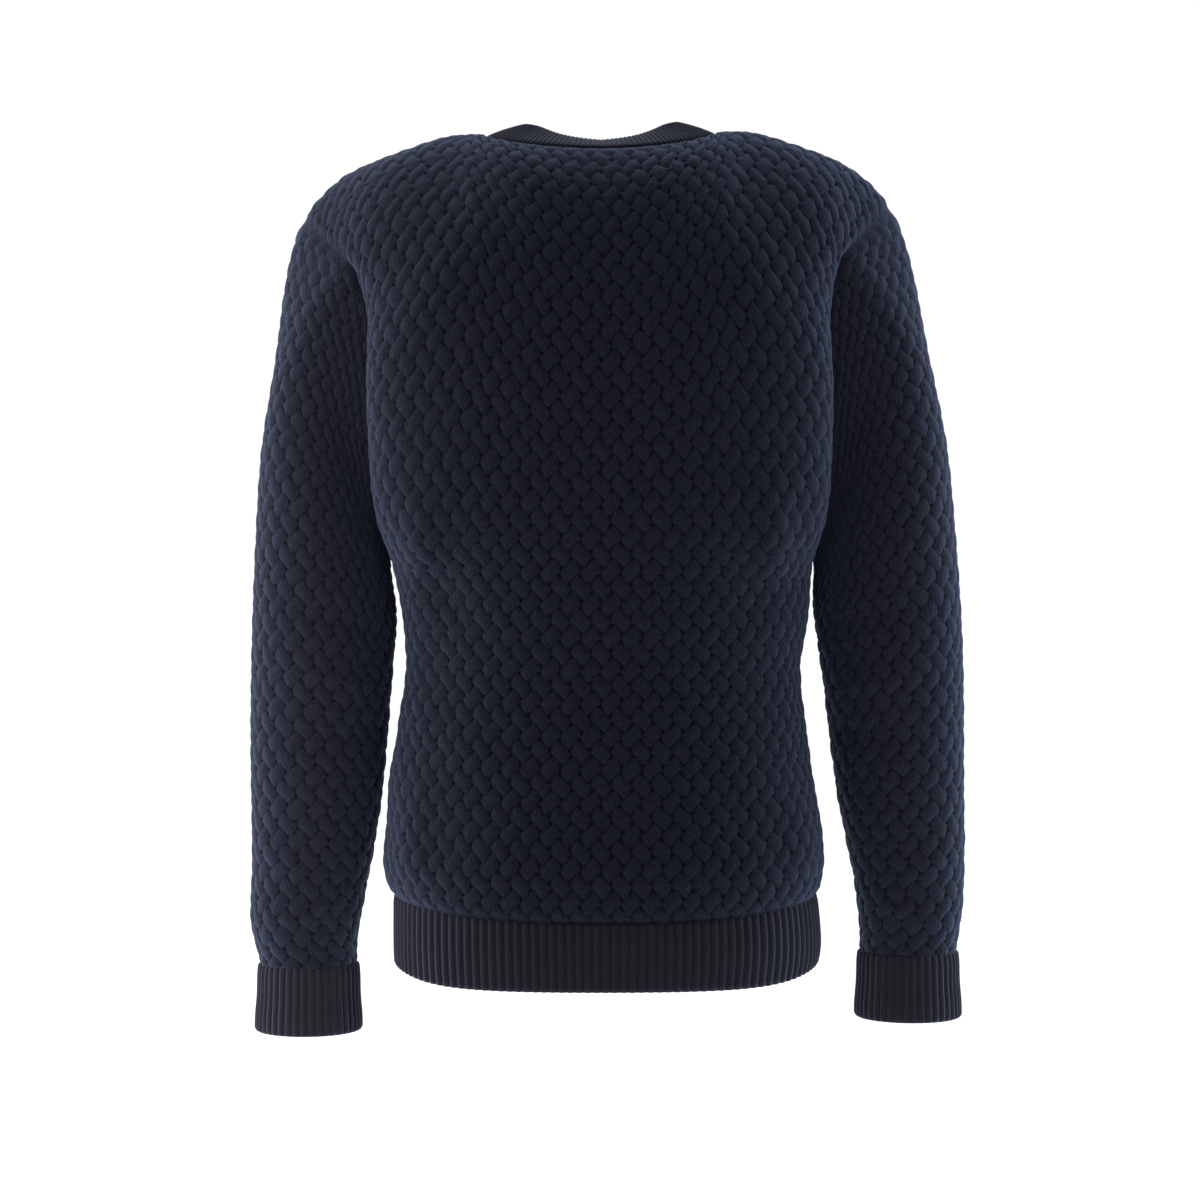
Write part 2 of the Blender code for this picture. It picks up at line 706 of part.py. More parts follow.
def make_sleeves(sleeves):
    for side, name in ((1, "left_sleeve"), (-1, "right_sleeve")):
        grid, out = sleeves[side]
        rows, cols = grid.shape[:2]
        j, i = np.meshgrid(np.arange(rows), np.arange(cols), indexing="ij")
        turn = np.minimum(i, cols - i)
        quiet = (j <= 2) & (turn > 3)
        quiet |= (j >= rows - 3)
        quiet |= (turn > 10) & (j < 10)
        heights = basket(rows, cols, wrap=True, quiet=quiet)
        heights[(j <= 3) & (turn >= TOP_ROWS - 6)] = CREASE_OUT
        closed = np.concatenate((grid, grid[:, :2]), axis=1)
        closed_out = np.concatenate((out, out[:, :2]), axis=1)
        moved = stand_back(closed, closed_out, ("first_row", "last_row"))
        first = moved[:, :cols].copy()
        first[:, 0] = moved[:, cols]
        dense = (j <= 5) & (turn >= 4)
        wall(name, first, out, heights, WALL_IN, (2, 2), KNIT, wrap=True, dense=dense)


def hem_line(row, side, face, lowest):
    line = low_course(row, side, face, False)
    if lowest:
        width = np.abs(line[:, 0]).max()
        line[:, 2] += HEM_RISE * (np.abs(line[:, 0]) / width) ** 7
    if face == "front":
        line = from_v_edge(line, BAND_WIDTH / 2)
    return resample(line, SIDE_COLS)


def hem_grid(panels, name):
    """Middle surface of a hem: the panel's first row, then the hem sections."""
    top = panels[name][0]
    levels = [top]
    for row in HEM:
        lowest = row is HEM[-1]
        if name == "back":
            right = hem_line(row, -1, "back", lowest)
            left = hem_line(row, 1, "back", lowest)
            line = np.vstack((right[::-1], left[1:]))
        elif name == "left_front":
            line = hem_line(row, 1, "front", lowest)
        else:
            line = hem_line(row, -1, "front", lowest)
        levels.append(line)
    return np.array(levels)[::-1]


def make_hems(panels, outs):
    """Ribbed hems. The ribs are raised in two rows of finer columns."""
    fine = 2 * HEM_RIBS
    grids = {}
    for name, piece in (("back", "back_hem"), ("left_front", "left_hem"),
                        ("right_front", "right_hem")):
        flip = name != "left_front"
        grid = hem_grid(panels, name)
        if name != "back":
            side = 1 if name == "left_front" else -1
            out = normals(grid, flip)
            share = 1 - smooth(np.arange(grid.shape[1]) / LIFT_COLS)
            lift = side * BAND_LIFT * share[None, :, None] * out
            lift[-1] = 0.0
            grid = grid + lift
        grids[name] = grid
    hems = {name: normals(grid, name != "left_front") for name, grid in grids.items()}
    for name in grids:
        hems[name][-1] = outs[name][0]
    for front, column in (("left_front", -1), ("right_front", 0)):
        shared = unit(hems["back"][:, column] + hems[front][:, -1])
        hems["back"][:, column] = shared
        hems[front][:, -1] = shared
    for name, piece in (("back", "back_hem"), ("left_front", "left_hem"),
                        ("right_front", "right_hem")):
        edges = ("last_row", "first_column", "last_column")
        moved = stand_back(grids[name], hems[name], edges)
        moved[:, :, 2] = np.where(
            np.arange(len(moved))[:, None] == len(moved) - 1,
            grids[name][:, :, 2] - SEAM_PULL, moved[:, :, 2])
        ribbed(piece, moved, hems[name], fine)
    return grids, hems


def ribbed(name, grid, out, fine):
    """A wall with vertical ribs: fine columns outside, plain columns inside."""
    cols = grid.shape[1]
    at = np.arange((cols - 1) * fine + 1) / fine
    k = np.minimum(at.astype(int), cols - 2)
    share = (at - k)[None, :, None]
    points = grid[:, k] * (1 - share) + grid[:, k + 1] * share
    outs = unit(out[:, k] * (1 - share) + out[:, k + 1] * share)
    rows = grid.shape[0]
    j, i = np.meshgrid(np.arange(rows), np.arange(len(at)), indexing="ij")
    heights = np.where(i % 2 == 1, RIB_HIGH, RIB_LOW)
    heights = np.where(j == rows - 1, RIB_LOW + 0.1, heights)
    heights = np.where((j == 0) & (i % 2 == 1), RIB_END, heights)
    wall(name, points, outs, heights, WALL_IN, (1, 2 * fine), RIB)


def rings_solid(name, rings, material):
    """A closed solid from a loop of rings whose counts divide each other."""
    points = []
    starts = []
    for ring in rings:
        starts.append(len(points))
        points += [tuple(p) for p in ring]
    faces = []
    for k, ring in enumerate(rings):
        n = (k + 1) % len(rings)
        a = [starts[k] + m for m in range(len(ring))] + [starts[k]]
        b = [starts[n] + m for m in range(len(rings[n]))] + [starts[n]]
        if len(a) < len(b):
            a, b = b, a
        if len(a) == len(b):
            for m in range(len(a) - 1):
                faces += [(a[m], a[m + 1], b[m + 1]), (a[m], b[m + 1], b[m])]
        else:
            stitch(faces, a, b)
    return solid(name, points, faces, material)


def make_cuffs(sleeves):
    """Ribbed cuffs, turned back: an inner and an outer layer, joined below."""
    for side, name, bottom in ((1, "left_cuff", CUFF_BOTTOM_LEFT),
                               (-1, "right_cuff", CUFF_BOTTOM_RIGHT)):
        grid, out = sleeves[side]
        ring, radial = grid[-1], out[-1].copy()
        seam = ring[0, 2]
        centre = ring.mean(axis=0)
        flat = unit(np.stack((radial[:, 0], radial[:, 1], 0 * radial[:, 0]), axis=1))

        def level(z, offset, fine, keep, seam=seam, centre=centre, ring=ring,
                  flat=flat, bottom=bottom, radial=radial):
            share = np.clip((seam - z) / (seam - bottom), 0, 1)
            grow = 1 + (CUFF_FLARE - 1) * share
            count = len(ring)
            at = np.arange(count * fine) / fine
            k = at.astype(int) % count
            part = (at - np.floor(at))[:, None]
            nxt = (k + 1) % count
            base = ring[k] * (1 - part) + ring[nxt] * part
            push = unit(flat[k] * (1 - part) + flat[nxt] * part)
            points = centre + (base - centre) * grow
            points[:, 2] = z
            high = np.broadcast_to(np.asarray(offset, float), (len(points),))
            return (points + push * high[:, None])[::keep]

        ribs = np.where(np.arange(len(ring) * CUFF_FINE) % 2 == 0, 6.0, 4.6)
        top = seam + CUFF_LIP
        inner_top = seam - 2 * SEAM_PULL
        rings = [
            level(inner_top, -WALL_IN, 1, 2),
            level(bottom + 1.5, -WALL_IN, 1, 2),
            level(bottom, 0.2, 1, 1),
            level(bottom, 3.4, 1, 1),
            level(bottom + 2.5, ribs, CUFF_FINE, 1),
            level(top - 1.5, ribs - 0.5, CUFF_FINE, 1),
            level(top, 4.0, 1, 1),
            level(top, 2.6, 1, 1),
            level(bottom + 3.0, 1.9, 1, 1),
            level(bottom + 3.0, 1.0, 1, 1),
            level(inner_top, 1.0, 1, 1),
        ]
        rings_solid(name, rings, RIB)


def band_across(point, out, run, side, width):
    """Step from a band's seam to its free edge, square to the seam."""
    step = unit(np.cross(out, unit(run)))
    step *= np.sign(-side * step[:, :1])
    return step * width


def band_grids(panels, outs, hem_grids, hem_outs):
    """Middle surfaces of the front bands: rows up the edge, columns across."""
    made = {}
    for side, front in ((1, "left_front"), (-1, "right_front")):
        hem = hem_grids[front][:-1, 0]
        edge = np.vstack((hem, panels[front][:, 0]))
        out = np.vstack((hem_outs[front][:-1, 0], outs[front][:, 0]))
        run = np.gradient(edge, axis=0)
        across = band_across(edge, out, run, side, BAND_WIDTH)
        last = np.array((-side * 35.0, 0.0, 10.0))
        z = edge[:, 2]
        share = smooth((z + 90.0) / 86.0)[:, None] ** 1.5
        across = across * (1 - share) + last * share
        straight = np.array((-side * (BAND_WIDTH - 0.8), 0.0, 0.0))
        low = smooth((-240.0 - z) / 40.0)[:, None]
        across = across * (1 - low) + straight * low
        made[side] = (edge, across, out)
    return made


def make_bands(bands):
    for side, name in ((1, "left_band"), (-1, "right_band")):
        edge, across, out = bands[side]
        shares = np.array((0.0, 0.5, 1.0))
        grid = edge[:, None, :] + across[:, None, :] * shares[None, :, None]
        grid[:, 1] += out * 0.8
        face = normals(grid, side > 0)
        check = np.sum(face[:, 0] * out, axis=1).mean()
        if check < 0:
            face = -face
        face[:, 0] = out
        face[-1, :, 1] = 0.0
        face[-1] = unit(face[-1])
        grid[-1, :, 1] = SEAM_Y
        moved = stand_back(grid, face, ("first_column",), BAND_CLEAR)
        moved[-1, :, 1] = SEAM_Y - SEAM_PULL
        rise = np.full(moved.shape[:2], BAND_HALF)
        wall(name, moved, face, rise, BAND_HALF, (1, 1), BAND)


def make_neckband(panels, outs, bands):
    """The band round the back of the neck, from shoulder seam to shoulder seam."""
    middle = SIDE_COLS
    first, last = middle - NECK_COLS, middle + NECK_COLS
    edge = panels["back"][-1, first:last + 1]
    out = outs["back"][-1, first:last + 1].copy()
    count = len(edge)
    at = np.linspace(-1.0, 1.0, count)
    table = np.array(NECKBAND_ACROSS, float)
    across = spline(table[:, 0], table[:, 1:], np.abs(at))
    across[:, 0] *= np.sign(at)
    grid = edge[None] + across[None] * np.array((0.0, 0.5, 1.0))[:, None, None]
    face = normals(grid, True)
    if np.sum(face[0] * out) < 0:
        face = -face
    grid[1] += face[1] * 0.8
    face[0] = out
    for column in (0, -1):
        face[:, column, 1] = 0.0
        face[:, column] = unit(face[:, column])
    moved = stand_back(grid, face, ("first_row",), BAND_CLEAR)
    for column in (0, -1):
        moved[:, column, 1] = SEAM_Y + SEAM_PULL
    rise = np.full(moved.shape[:2], BAND_HALF)
    wall("neckband", moved, face, rise, BAND_HALF, (1, 2), BAND)


def make_buttons(bands):
    """Turned buttons on the middle line of the left band."""
    edge, across, out = bands[1]
    line = edge + across / 2 + out * 0.8
    z = line[:, 2]
    profile = ((0.0, 2.3), (4.2, 2.5), (6.2, 3.9), (8.0, 3.9), (9.0, 2.6), (8.0, 0.0),
               (0.0, 0.0))
    for k, height in enumerate(BUTTON_HEIGHTS):
        y = np.interp(height, z, line[:, 1])
        slope = (np.interp(height + 9, z, line[:, 1])
                 - np.interp(height - 9, z, line[:, 1])) / 18.0
        turn = np.array((0.0, -1.0, slope))
        turn /= np.linalg.norm(turn)
        seat = np.array((0.0, y, height)) + turn * (BAND_HALF + BUTTON_GAP + 0.25)
        mesh = bpy.data.meshes.new("button")
        verts = [(r * BUTTON_RADIUS / 9.0 * MM, 0.0, h * MM) for r, h in profile]
        mesh.from_pydata(verts, [(m, m + 1) for m in range(len(verts) - 1)], [])
        button = bpy.data.objects.new(f"button_{k + 1}", mesh)
        GARMENT.objects.link(button)
        screw = button.modifiers.new("turn", "SCREW")
        screw.steps = 16
        screw.render_steps = 16
        screw.use_merge_vertices = True
        screw.merge_threshold = 0.0001
        mesh.materials.append(HORN)
        button.location = seat * MM
        button.rotation_euler = (math.atan2(-turn[1], turn[2]), 0.0, 0.0)


# ---- the garment ---------------------------------------------------------------
for old in list(bpy.data.objects):
    bpy.data.objects.remove(old, do_unlink=True)
GARMENT = bpy.data.collections.new("cardigan")
bpy.context.scene.collection.children.link(GARMENT)
KNIT = material("navy basket knit", (0.018, 0.020, 0.034), 0.9)
RIB = material("navy rib", (0.022, 0.023, 0.036), 0.9)
BAND = material("navy fine rib", (0.024, 0.025, 0.038), 0.85)
HORN = material("dark horn", (0.03, 0.024, 0.022), 0.35)

PANELS, OUTS = body_panels()
SLEEVES = {side: sleeve(PANELS, side) for side in (1, -1)}
share_armhole(PANELS, OUTS, SLEEVES)
make_body(PANELS, OUTS)
make_sleeves(SLEEVES)
HEMS, HEM_OUTS = make_hems(PANELS, OUTS)
make_cuffs(SLEEVES)
BANDS = band_grids(PANELS, OUTS, HEMS, HEM_OUTS)
make_bands(BANDS)
make_neckband(PANELS, OUTS, BANDS)
make_buttons(BANDS)
bpy.context.view_layer.update()
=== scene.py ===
"""Looks of a knitted cardigan in its worn form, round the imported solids.

Lengths are millimetres, but metres for the camera, the floor and the lights,
in the frame of the solids: +Z up, the front faces -Y, the wearer's left is +X.
The panels are worked out again here as fine surfaces, and the basket cable is
raised on them at its real size.
"""
import math

import bmesh
import bpy
import numpy as np
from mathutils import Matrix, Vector


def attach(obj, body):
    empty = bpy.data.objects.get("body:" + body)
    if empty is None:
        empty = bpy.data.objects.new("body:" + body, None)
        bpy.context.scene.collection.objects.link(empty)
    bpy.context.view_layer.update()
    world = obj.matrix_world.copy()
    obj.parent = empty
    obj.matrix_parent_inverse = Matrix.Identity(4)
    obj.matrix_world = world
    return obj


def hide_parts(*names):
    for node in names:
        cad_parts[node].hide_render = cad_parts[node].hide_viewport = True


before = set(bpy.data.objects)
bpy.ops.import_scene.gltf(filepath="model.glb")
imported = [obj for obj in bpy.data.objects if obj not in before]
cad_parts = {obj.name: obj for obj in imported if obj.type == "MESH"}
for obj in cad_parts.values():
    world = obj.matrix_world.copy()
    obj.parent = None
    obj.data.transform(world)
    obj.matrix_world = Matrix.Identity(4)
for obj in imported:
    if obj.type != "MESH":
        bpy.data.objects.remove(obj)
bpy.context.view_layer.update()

MM = 0.001
ROOT = "root"
LEFT, RIGHT = 1, -1    # the wearer's sides, as signs of x
# each front, its side, and the back's column at its side seam
FRONTS = (("left_front", LEFT, -1), ("right_front", RIGHT, 0))

# ---- cloth ----
WALL_IN = 1.4          # inner face of a rib, below the middle of the cloth
GROOVE_OUT = 0.9       # the cloth between the cables
CABLE_RISE = 2.5       # a cable's top stands this much above it
SEAM_SINK = 0.6        # a panel dips this much into its seams
PANEL_WIDE = 15.4      # from one cable to the next, across, on the body
SLEEVE_WIDE = 16.2     # the same on a sleeve
SLEEVE_HIGH = 12.4     # from one crossing to the next, along a sleeve
LOW_CROSSINGS = 23.3   # crossings from the hem seam to the underarm
TOP_CROSSINGS = 24.3   # crossings from the underarm to the shoulder seam
SLEEVE_MEAN = 480.0    # mean length of a sleeve
SLANT = 0.35           # how far its courses follow the armhole's slant
LEAN = 0.55            # how far a tile leans across in one crossing
TILE_POINT = 1.2       # 1 is a diamond, 2 is an ellipse
TILE_SEAM = 0.22       # width of the groove between two tiles
TILE_SIDE = 0.94       # 1 closes the tile at its neighbour's side
TILE_REACH = 0.86      # a tile dives under its neighbours this far from its row
TILE_FLAT = 0.30       # smaller is a flatter top
SEAM_HEIGHT = 0.6      # height of a tile's edge, as a share of its top's
WALES = 4.0            # wales in a cable
STITCHES = 5.4         # stitches along one crossing
RIB_LOW = 0.5          # outer face between two ribs
RIB_HIGH = 2.1         # outer face on a rib
HEM_RIB = 6.9          # from rib to rib
CUFF_RIBS = 42
BAND_RIB = 4.2         # from rib to rib in the front bands and the neckband
BAND_FACE = 1.5        # half the thickness of the bands between their ribs
BAND_BOW = 0.8         # how far the middle of a band stands off its edges

# ---- how each panel is divided ----
SIDE_COLS = 18         # columns from the centre, or from the V edge, to a side
NECK_COLS = 8          # of these, the back's columns that end in the neck seam
LOW_ROWS = 14          # rows from the hem seam to the underarm
TOP_ROWS = 14          # rows from the underarm to the shoulder seam
SLEEVE_ROWS = 28       # rows from the armhole to the cuff
FINE = 4               # fine rows and columns for each plain one
CURVE_STEPS = 121      # points on a curve before it is cut in equal steps
PANEL_ROWS = 330
SLEEVE_FINE_ROWS, SLEEVE_FINE_COLS = 310, 176
HEM_ROWS = 15
RIB_STEPS = 8          # columns to a rib of the hem and the cuffs
CUFF_ROWS = 8          # the last rows of a sleeve, which lead its cuff
BAND_STEPS = 6         # rows to a rib of the bands
BAND_COLS = 11

# ---- body sections below the underarm ---------------------------------------
FULLNESS = 2.35        # exponent of the superellipse: 2 is an ellipse
# height, left half width, right half width, depth of back, depth of front
BODY = (
    (-610, 163.5, 170.5, 110, -112),
    (-578, 170.5, 173.8, 113, -118),
    (-546, 167.5, 171.4, 107, -113),
    (-514, 165.5, 166.6, 102, -108),
    (-482, 158.6, 162.6, 98, -105),
    (-450, 153.0, 158.6, 96, -105),
    (-418, 149.0, 157.0, 97, -107),
    (-386, 152.5, 162.0, 101, -112),
    (-352, 160.5, 164.5, 105, -117),
)
SEAM_RISE = 12         # the hem seam is this much higher at the sides
SEAM_DIP = 6           # and this much below the first height at the centre
HEM_RISE = 11          # the lower edge is this much higher at the sides

# ---- courses above the underarm ----
# centre height, edge height, centre depth, fold x, fold y, edge x, edge y, V edge x
HIGH_COURSES = {
    ("back", LEFT): (
        (-322, -322, 109, 168.5, 32, 163.5, 0, 0),
        (-245, -250, 116, 178.5, 53, 163, 28, 0),
        (-165, -185, 118, 179.0, 60, 166, 41, 0),
        (-98, -124, 107, 186.0, 50, 186, 50, 0),
    ),
    ("back", RIGHT): (
        (-322, -322, 109, 169.5, 32, 164.5, 0, 0),
        (-245, -250, 116, 177.5, 53, 163, 28, 0),
        (-165, -185, 118, 176.5, 60, 165, 41, 0),
        (-98, -118, 107, 181.0, 50, 181, 50, 0),
    ),
    ("front", LEFT): (
        (-322, -322, -121, 167.0, -32, 163.5, 0, 15),
        (-250, -250, -125, 172.0, -50, 163, -24, 19),
        (-175, -185, -120, 171.0, -60, 165, -41, 41),
        (-95, -122, -97, 180.0, -46, 180, -46, 66),
    ),
    ("front", RIGHT): (
        (-322, -322, -121, 168.0, -32, 164.5, 0, 15),
        (-250, -250, -125, 172.0, -50, 163, -24, 19),
        (-175, -183, -120, 170.0, -60, 164, -41, 41),
        (-95, -116, -97, 175.0, -46, 175, -46, 66),
    ),
}

# ---- neck and shoulders ----
NECK_HALF = 93         # half width of the neck at the shoulder seams
NECK_BACK = 58         # depth of the neck seam at the centre back
NECK_DROP = 18         # the neck seam is this much lower at the centre back
SEAM_Y = -5            # the shoulder seam lies just in front of the crest
# distance from the centre, height
SHOULDER = {
    LEFT: ((93, -1), (121, -3), (145, -11), (169, -18.5), (193, -27),
           (205, -33), (217, -43), (229, -56), (236, -66)),
    RIGHT: ((93, 1), (121, 0), (145, -7.5), (169, -14.5), (193, -23.5),
            (205, -31), (217, -41), (230, -57)),
}
# column, then how the cloth falls away from the top edge: x, y, z
BACK_FALL = ((0, 0, 22, -23), (8, 9, 30, -10), (13, 2, 34, -8), (18, -20, 39, -22))
FRONT_FALL = ((0, -8, -32, -17), (9, 2, -34, -9), (18, -26, -31, -23))
NECK_LEAN = (0, -20, 14)
CORNER_ROUND = 30      # reach of the rounding of the course below the neck corner
SOFT_STEPS = 180       # steps of a course while it is rounded
SOFT_SPAN = 60         # steps that the rounding looks to each side

# ---- sleeves ----
# outer height, inner height, outer x, inner x, middle y, half depth, pinch inside
SLEEVE = {
    LEFT: (
        (-185, -345, 259.0, 171.5, -6, 50, 0.30),
        (-240, -366, 268.0, 168.6, -7, 51, 0.22),
        (-300, -387, 273.0, 167.0, -8, 52, 0.12),
        (-410, -447, 278.0, 172.0, -14, 51, 0.0),
        (-520, -536, 280.0, 181.0, -26, 47, 0.0),
        (-600, -608, 281.5, 194.5, -40, 43, 0.0),
        (-642, -644, 281.0, 201.0, -46, 40, 0.0),
        (-660, -660, 276.5, 202.3, -48.5, 38, 0.0),
        (-672, -672, 275.5, 202.5, -50, 37.5, 0.0),
    ),
    RIGHT: (
        (-178, -345, 260.5, 173.0, -6, 50, 0.30),
        (-240, -366, 273.2, 172.6, -7, 51, 0.22),
        (-300, -387, 280.0, 174.0, -8, 52, 0.12),
        (-410, -447, 288.0, 183.0, -14, 51, 0.0),
        (-520, -536, 290.6, 195.5, -26, 47, 0.0),
        (-595, -602, 292.5, 209.5, -40, 43, 0.0),
        (-632, -634, 290.5, 213.4, -46, 40, 0.0),
        (-650, -650, 288.0, 214.3, -48.5, 38, 0.0),
        (-662, -662, 287.5, 214.5, -50, 37.5, 0.0),
    ),
}
RING_SAG = 2.2         # how late the courses of a sleeve fall to the inside
LEAD_ON = 0.5          # how far the sleeve head carries on the line of the shoulder
LEAD_COLS = 2          # plain columns inside the body that give this line
LEAD_REACH = 6.0       # plain columns round from the shoulder that follow it
BACK_STEP = 0.25       # the spline starts this share of a course before the seam

# ---- hem, cuffs, bands, buttons ----
# height, left half width, right half width, depth of back, depth of front
HEM = (
    (-640, 163.5, 173.5, 110, -113),
    (-669, 163.0, 171.0, 106, -109),
)
CUFF_BOTTOM = {LEFT: -721, RIGHT: -710}
CUFF_LIP = 6           # the turned-up edge ends this much above the sleeve seam
CUFF_FLARE = 1.07      # the cuff is wider at the bottom
BAND_WIDTH = 30        # front bands and neckband
# share of the way from the centre back to the shoulder seam, width of band x, y, z
NECKBAND_ACROSS = ((0, 0, -26, 9.5), (0.3, -8, -25, 12.5), (0.6, -22, -21, 15.5),
                   (0.8, -31, -10, 13), (1, -35, 0, 10))
BAND_LIFT = 2.1        # the left band lies over the right one
LIFT_COLS = 4          # columns over which a front comes up to its band
V_FREE = -190          # above this height the two bands part
BAND_TOP = 35.0, 10.0  # the band's last step at the shoulder: x, z
BUTTONS = 6

# ---- soft vertical folds: panel, x, top, bottom, height, half width ----
FOLDS = (
    ("back", 144, -275, -600, 5.0, 15),
    ("back", -136, -255, -380, 4.0, 15),
    ("back", -160, -505, -605, 4.0, 16),
    ("front", 128, -290, -560, 4.0, 16),
    ("front", -132, -300, -540, 4.0, 16),
)


# ---- curves ----
def spline(knots, values, at):
    """Natural cubic spline through values at knots, read at the numbers in at."""
    t = np.asarray(knots, float)
    v = np.asarray(values, float)
    q = np.asarray(at, float)
    flat = v.reshape(len(t), -1)
    h = np.diff(t)
    k = np.arange(1, len(t) - 1)
    matrix = np.eye(len(t))
    matrix[k, k - 1] = h[:-1]
    matrix[k, k] = 2 * (h[:-1] + h[1:])
    matrix[k, k + 1] = h[1:]
    right = np.zeros_like(flat)
    right[1:-1] = 6 * np.diff(np.diff(flat, axis=0) / h[:, None], axis=0)
    curve = np.linalg.solve(matrix, right)
    k = np.clip(np.searchsorted(t, q, side="right") - 1, 0, len(t) - 2)
    a = (t[k + 1] - q)[:, None]
    b = (q - t[k])[:, None]
    w = h[k][:, None]
    out = (curve[k] * a ** 3 + curve[k + 1] * b ** 3) / (6 * w)
    out += (flat[k] / w - curve[k] * w / 6) * a
    out += (flat[k + 1] / w - curve[k + 1] * w / 6) * b
    return out.reshape((len(q),) + v.shape[1:])


def lengths(line):
    """Running length along a line of points."""
    steps = np.linalg.norm(np.diff(line, axis=0), axis=1)
    return np.concatenate(([0.0], np.cumsum(steps)))


def resample(line, parts):
    """The same line in equal steps of length."""
    run = lengths(line)
    at = np.linspace(0.0, run[-1], parts + 1)
    return np.stack([np.interp(at, run, line[:, k]) for k in range(3)], axis=1)


def unit(vectors):
    size = np.linalg.norm(vectors, axis=-1, keepdims=True)
    return vectors / np.maximum(size, 1e-9)


def smooth(x):
    x = np.clip(x, 0.0, 1.0)
    return x * x * (3 - 2 * x)


def stack(*parts):
    """Single numbers put together to points or UVs, along a last axis."""
    return np.stack(np.broadcast_arrays(*parts), axis=-1)


def quarter_turn(steps=CURVE_STEPS):
    return np.linspace(0.0, math.pi / 2, steps)


# ---- courses ----
def quarter(width, depth):
    """A quarter of a superellipse, from the centre line out to the side."""
    angle = quarter_turn(161)
    power = 2 / FULLNESS
    return width * np.sin(angle) ** power, depth * np.cos(angle) ** power


def low_course(row, side, face, seam=False):
    """Half a level course from the centre to the side seam, dense."""
    height, left, right, back, front = row
    width = left if side > 0 else right
    x, y = quarter(width, back if face == "back" else front)
    z = height - SEAM_DIP + SEAM_RISE * (x / width) ** 3 if seam else height
    return stack(side * x, y, z)


def high_course(row, side):
    """Half a course above the underarm, round the fold and in to the armhole."""
    centre_z, edge_z, centre_y, fold_x, fold_y, edge_x, edge_y, _ = row
    x, y = quarter(fold_x, centre_y - fold_y)
    y = fold_y + y
    if fold_x > edge_x:
        back = np.linspace(0.0, 1.0, 30)[1:]
        x = np.concatenate((x, fold_x - (fold_x - edge_x) * back ** 2))
        y = np.concatenate((y, fold_y - (fold_y - edge_y) * back))
    line = stack(side * x, y, 0.0)
    run = lengths(line)
    line[:, 2] = centre_z + (edge_z - centre_z) * (run / run[-1]) ** 2.5
    return line


def from_v_edge(line, edge):
    """The part of a half course outside the V edge."""
    if edge <= 0:
        return line
    x = np.abs(line[:, 0])
    k = int(np.argmax(x > edge))
    share = (edge - x[k - 1]) / (x[k] - x[k - 1])
    start = line[k - 1] + share * (line[k] - line[k - 1])
    return np.vstack((start[None, :], line[k:]))


def shoulder_line(side, parts):
    table = np.array(SHOULDER[side], float)
    x = np.linspace(table[0, 0], table[-1, 0], CURVE_STEPS)
    z = spline(table[:, 0], table[:, 1], x)
    return resample(stack(side * x, SEAM_Y, z), parts)


def neck_line(side, parts):
    """Half of the neck seam, from the centre back to the shoulder seam."""
    middle = (SHOULDER[LEFT][0][1] + SHOULDER[RIGHT][0][1]) / 2 - NECK_DROP
    angle = quarter_turn()
    x = NECK_HALF * np.sin(angle)
    y = SEAM_Y + (NECK_BACK - SEAM_Y) * np.cos(angle)
    share = np.cos(angle) ** 1.6
    z = SHOULDER[side][0][1] * (1 - share) + middle * share
    return resample(stack(side * x, y, z), parts)


def fall(table, side, count):
    """How the cloth falls away from the top edge, read at count + 1 columns."""
    rows = np.array(table, float)
    at = np.linspace(rows[0, 0], rows[-1, 0], count + 1)
    out = spline(rows[:, 0], rows[:, 1:], at)
    out[:, 0] *= side
    return out


def soften(line, cols):
    """Round off the corner that a course would take below the neck corner."""
    dense = resample(line, SOFT_STEPS)
    mirror = dense[1:SOFT_SPAN + 1][::-1] * np.array((-1.0, 1.0, 1.0))
    ahead = dense[-1] + (dense[-1] - dense[-1 - SOFT_SPAN:-1][::-1])
    long_line = np.vstack((mirror, dense, ahead))
    reach = np.arange(-SOFT_SPAN, SOFT_SPAN + 1) * lengths(line)[-1] / SOFT_STEPS
    weight = np.exp(-((reach / CORNER_ROUND) ** 2))
    weight /= weight.sum()
    soft = [np.convolve(long_line[:, k], weight, "valid") for k in range(3)]
    return resample(stack(*soft), cols)


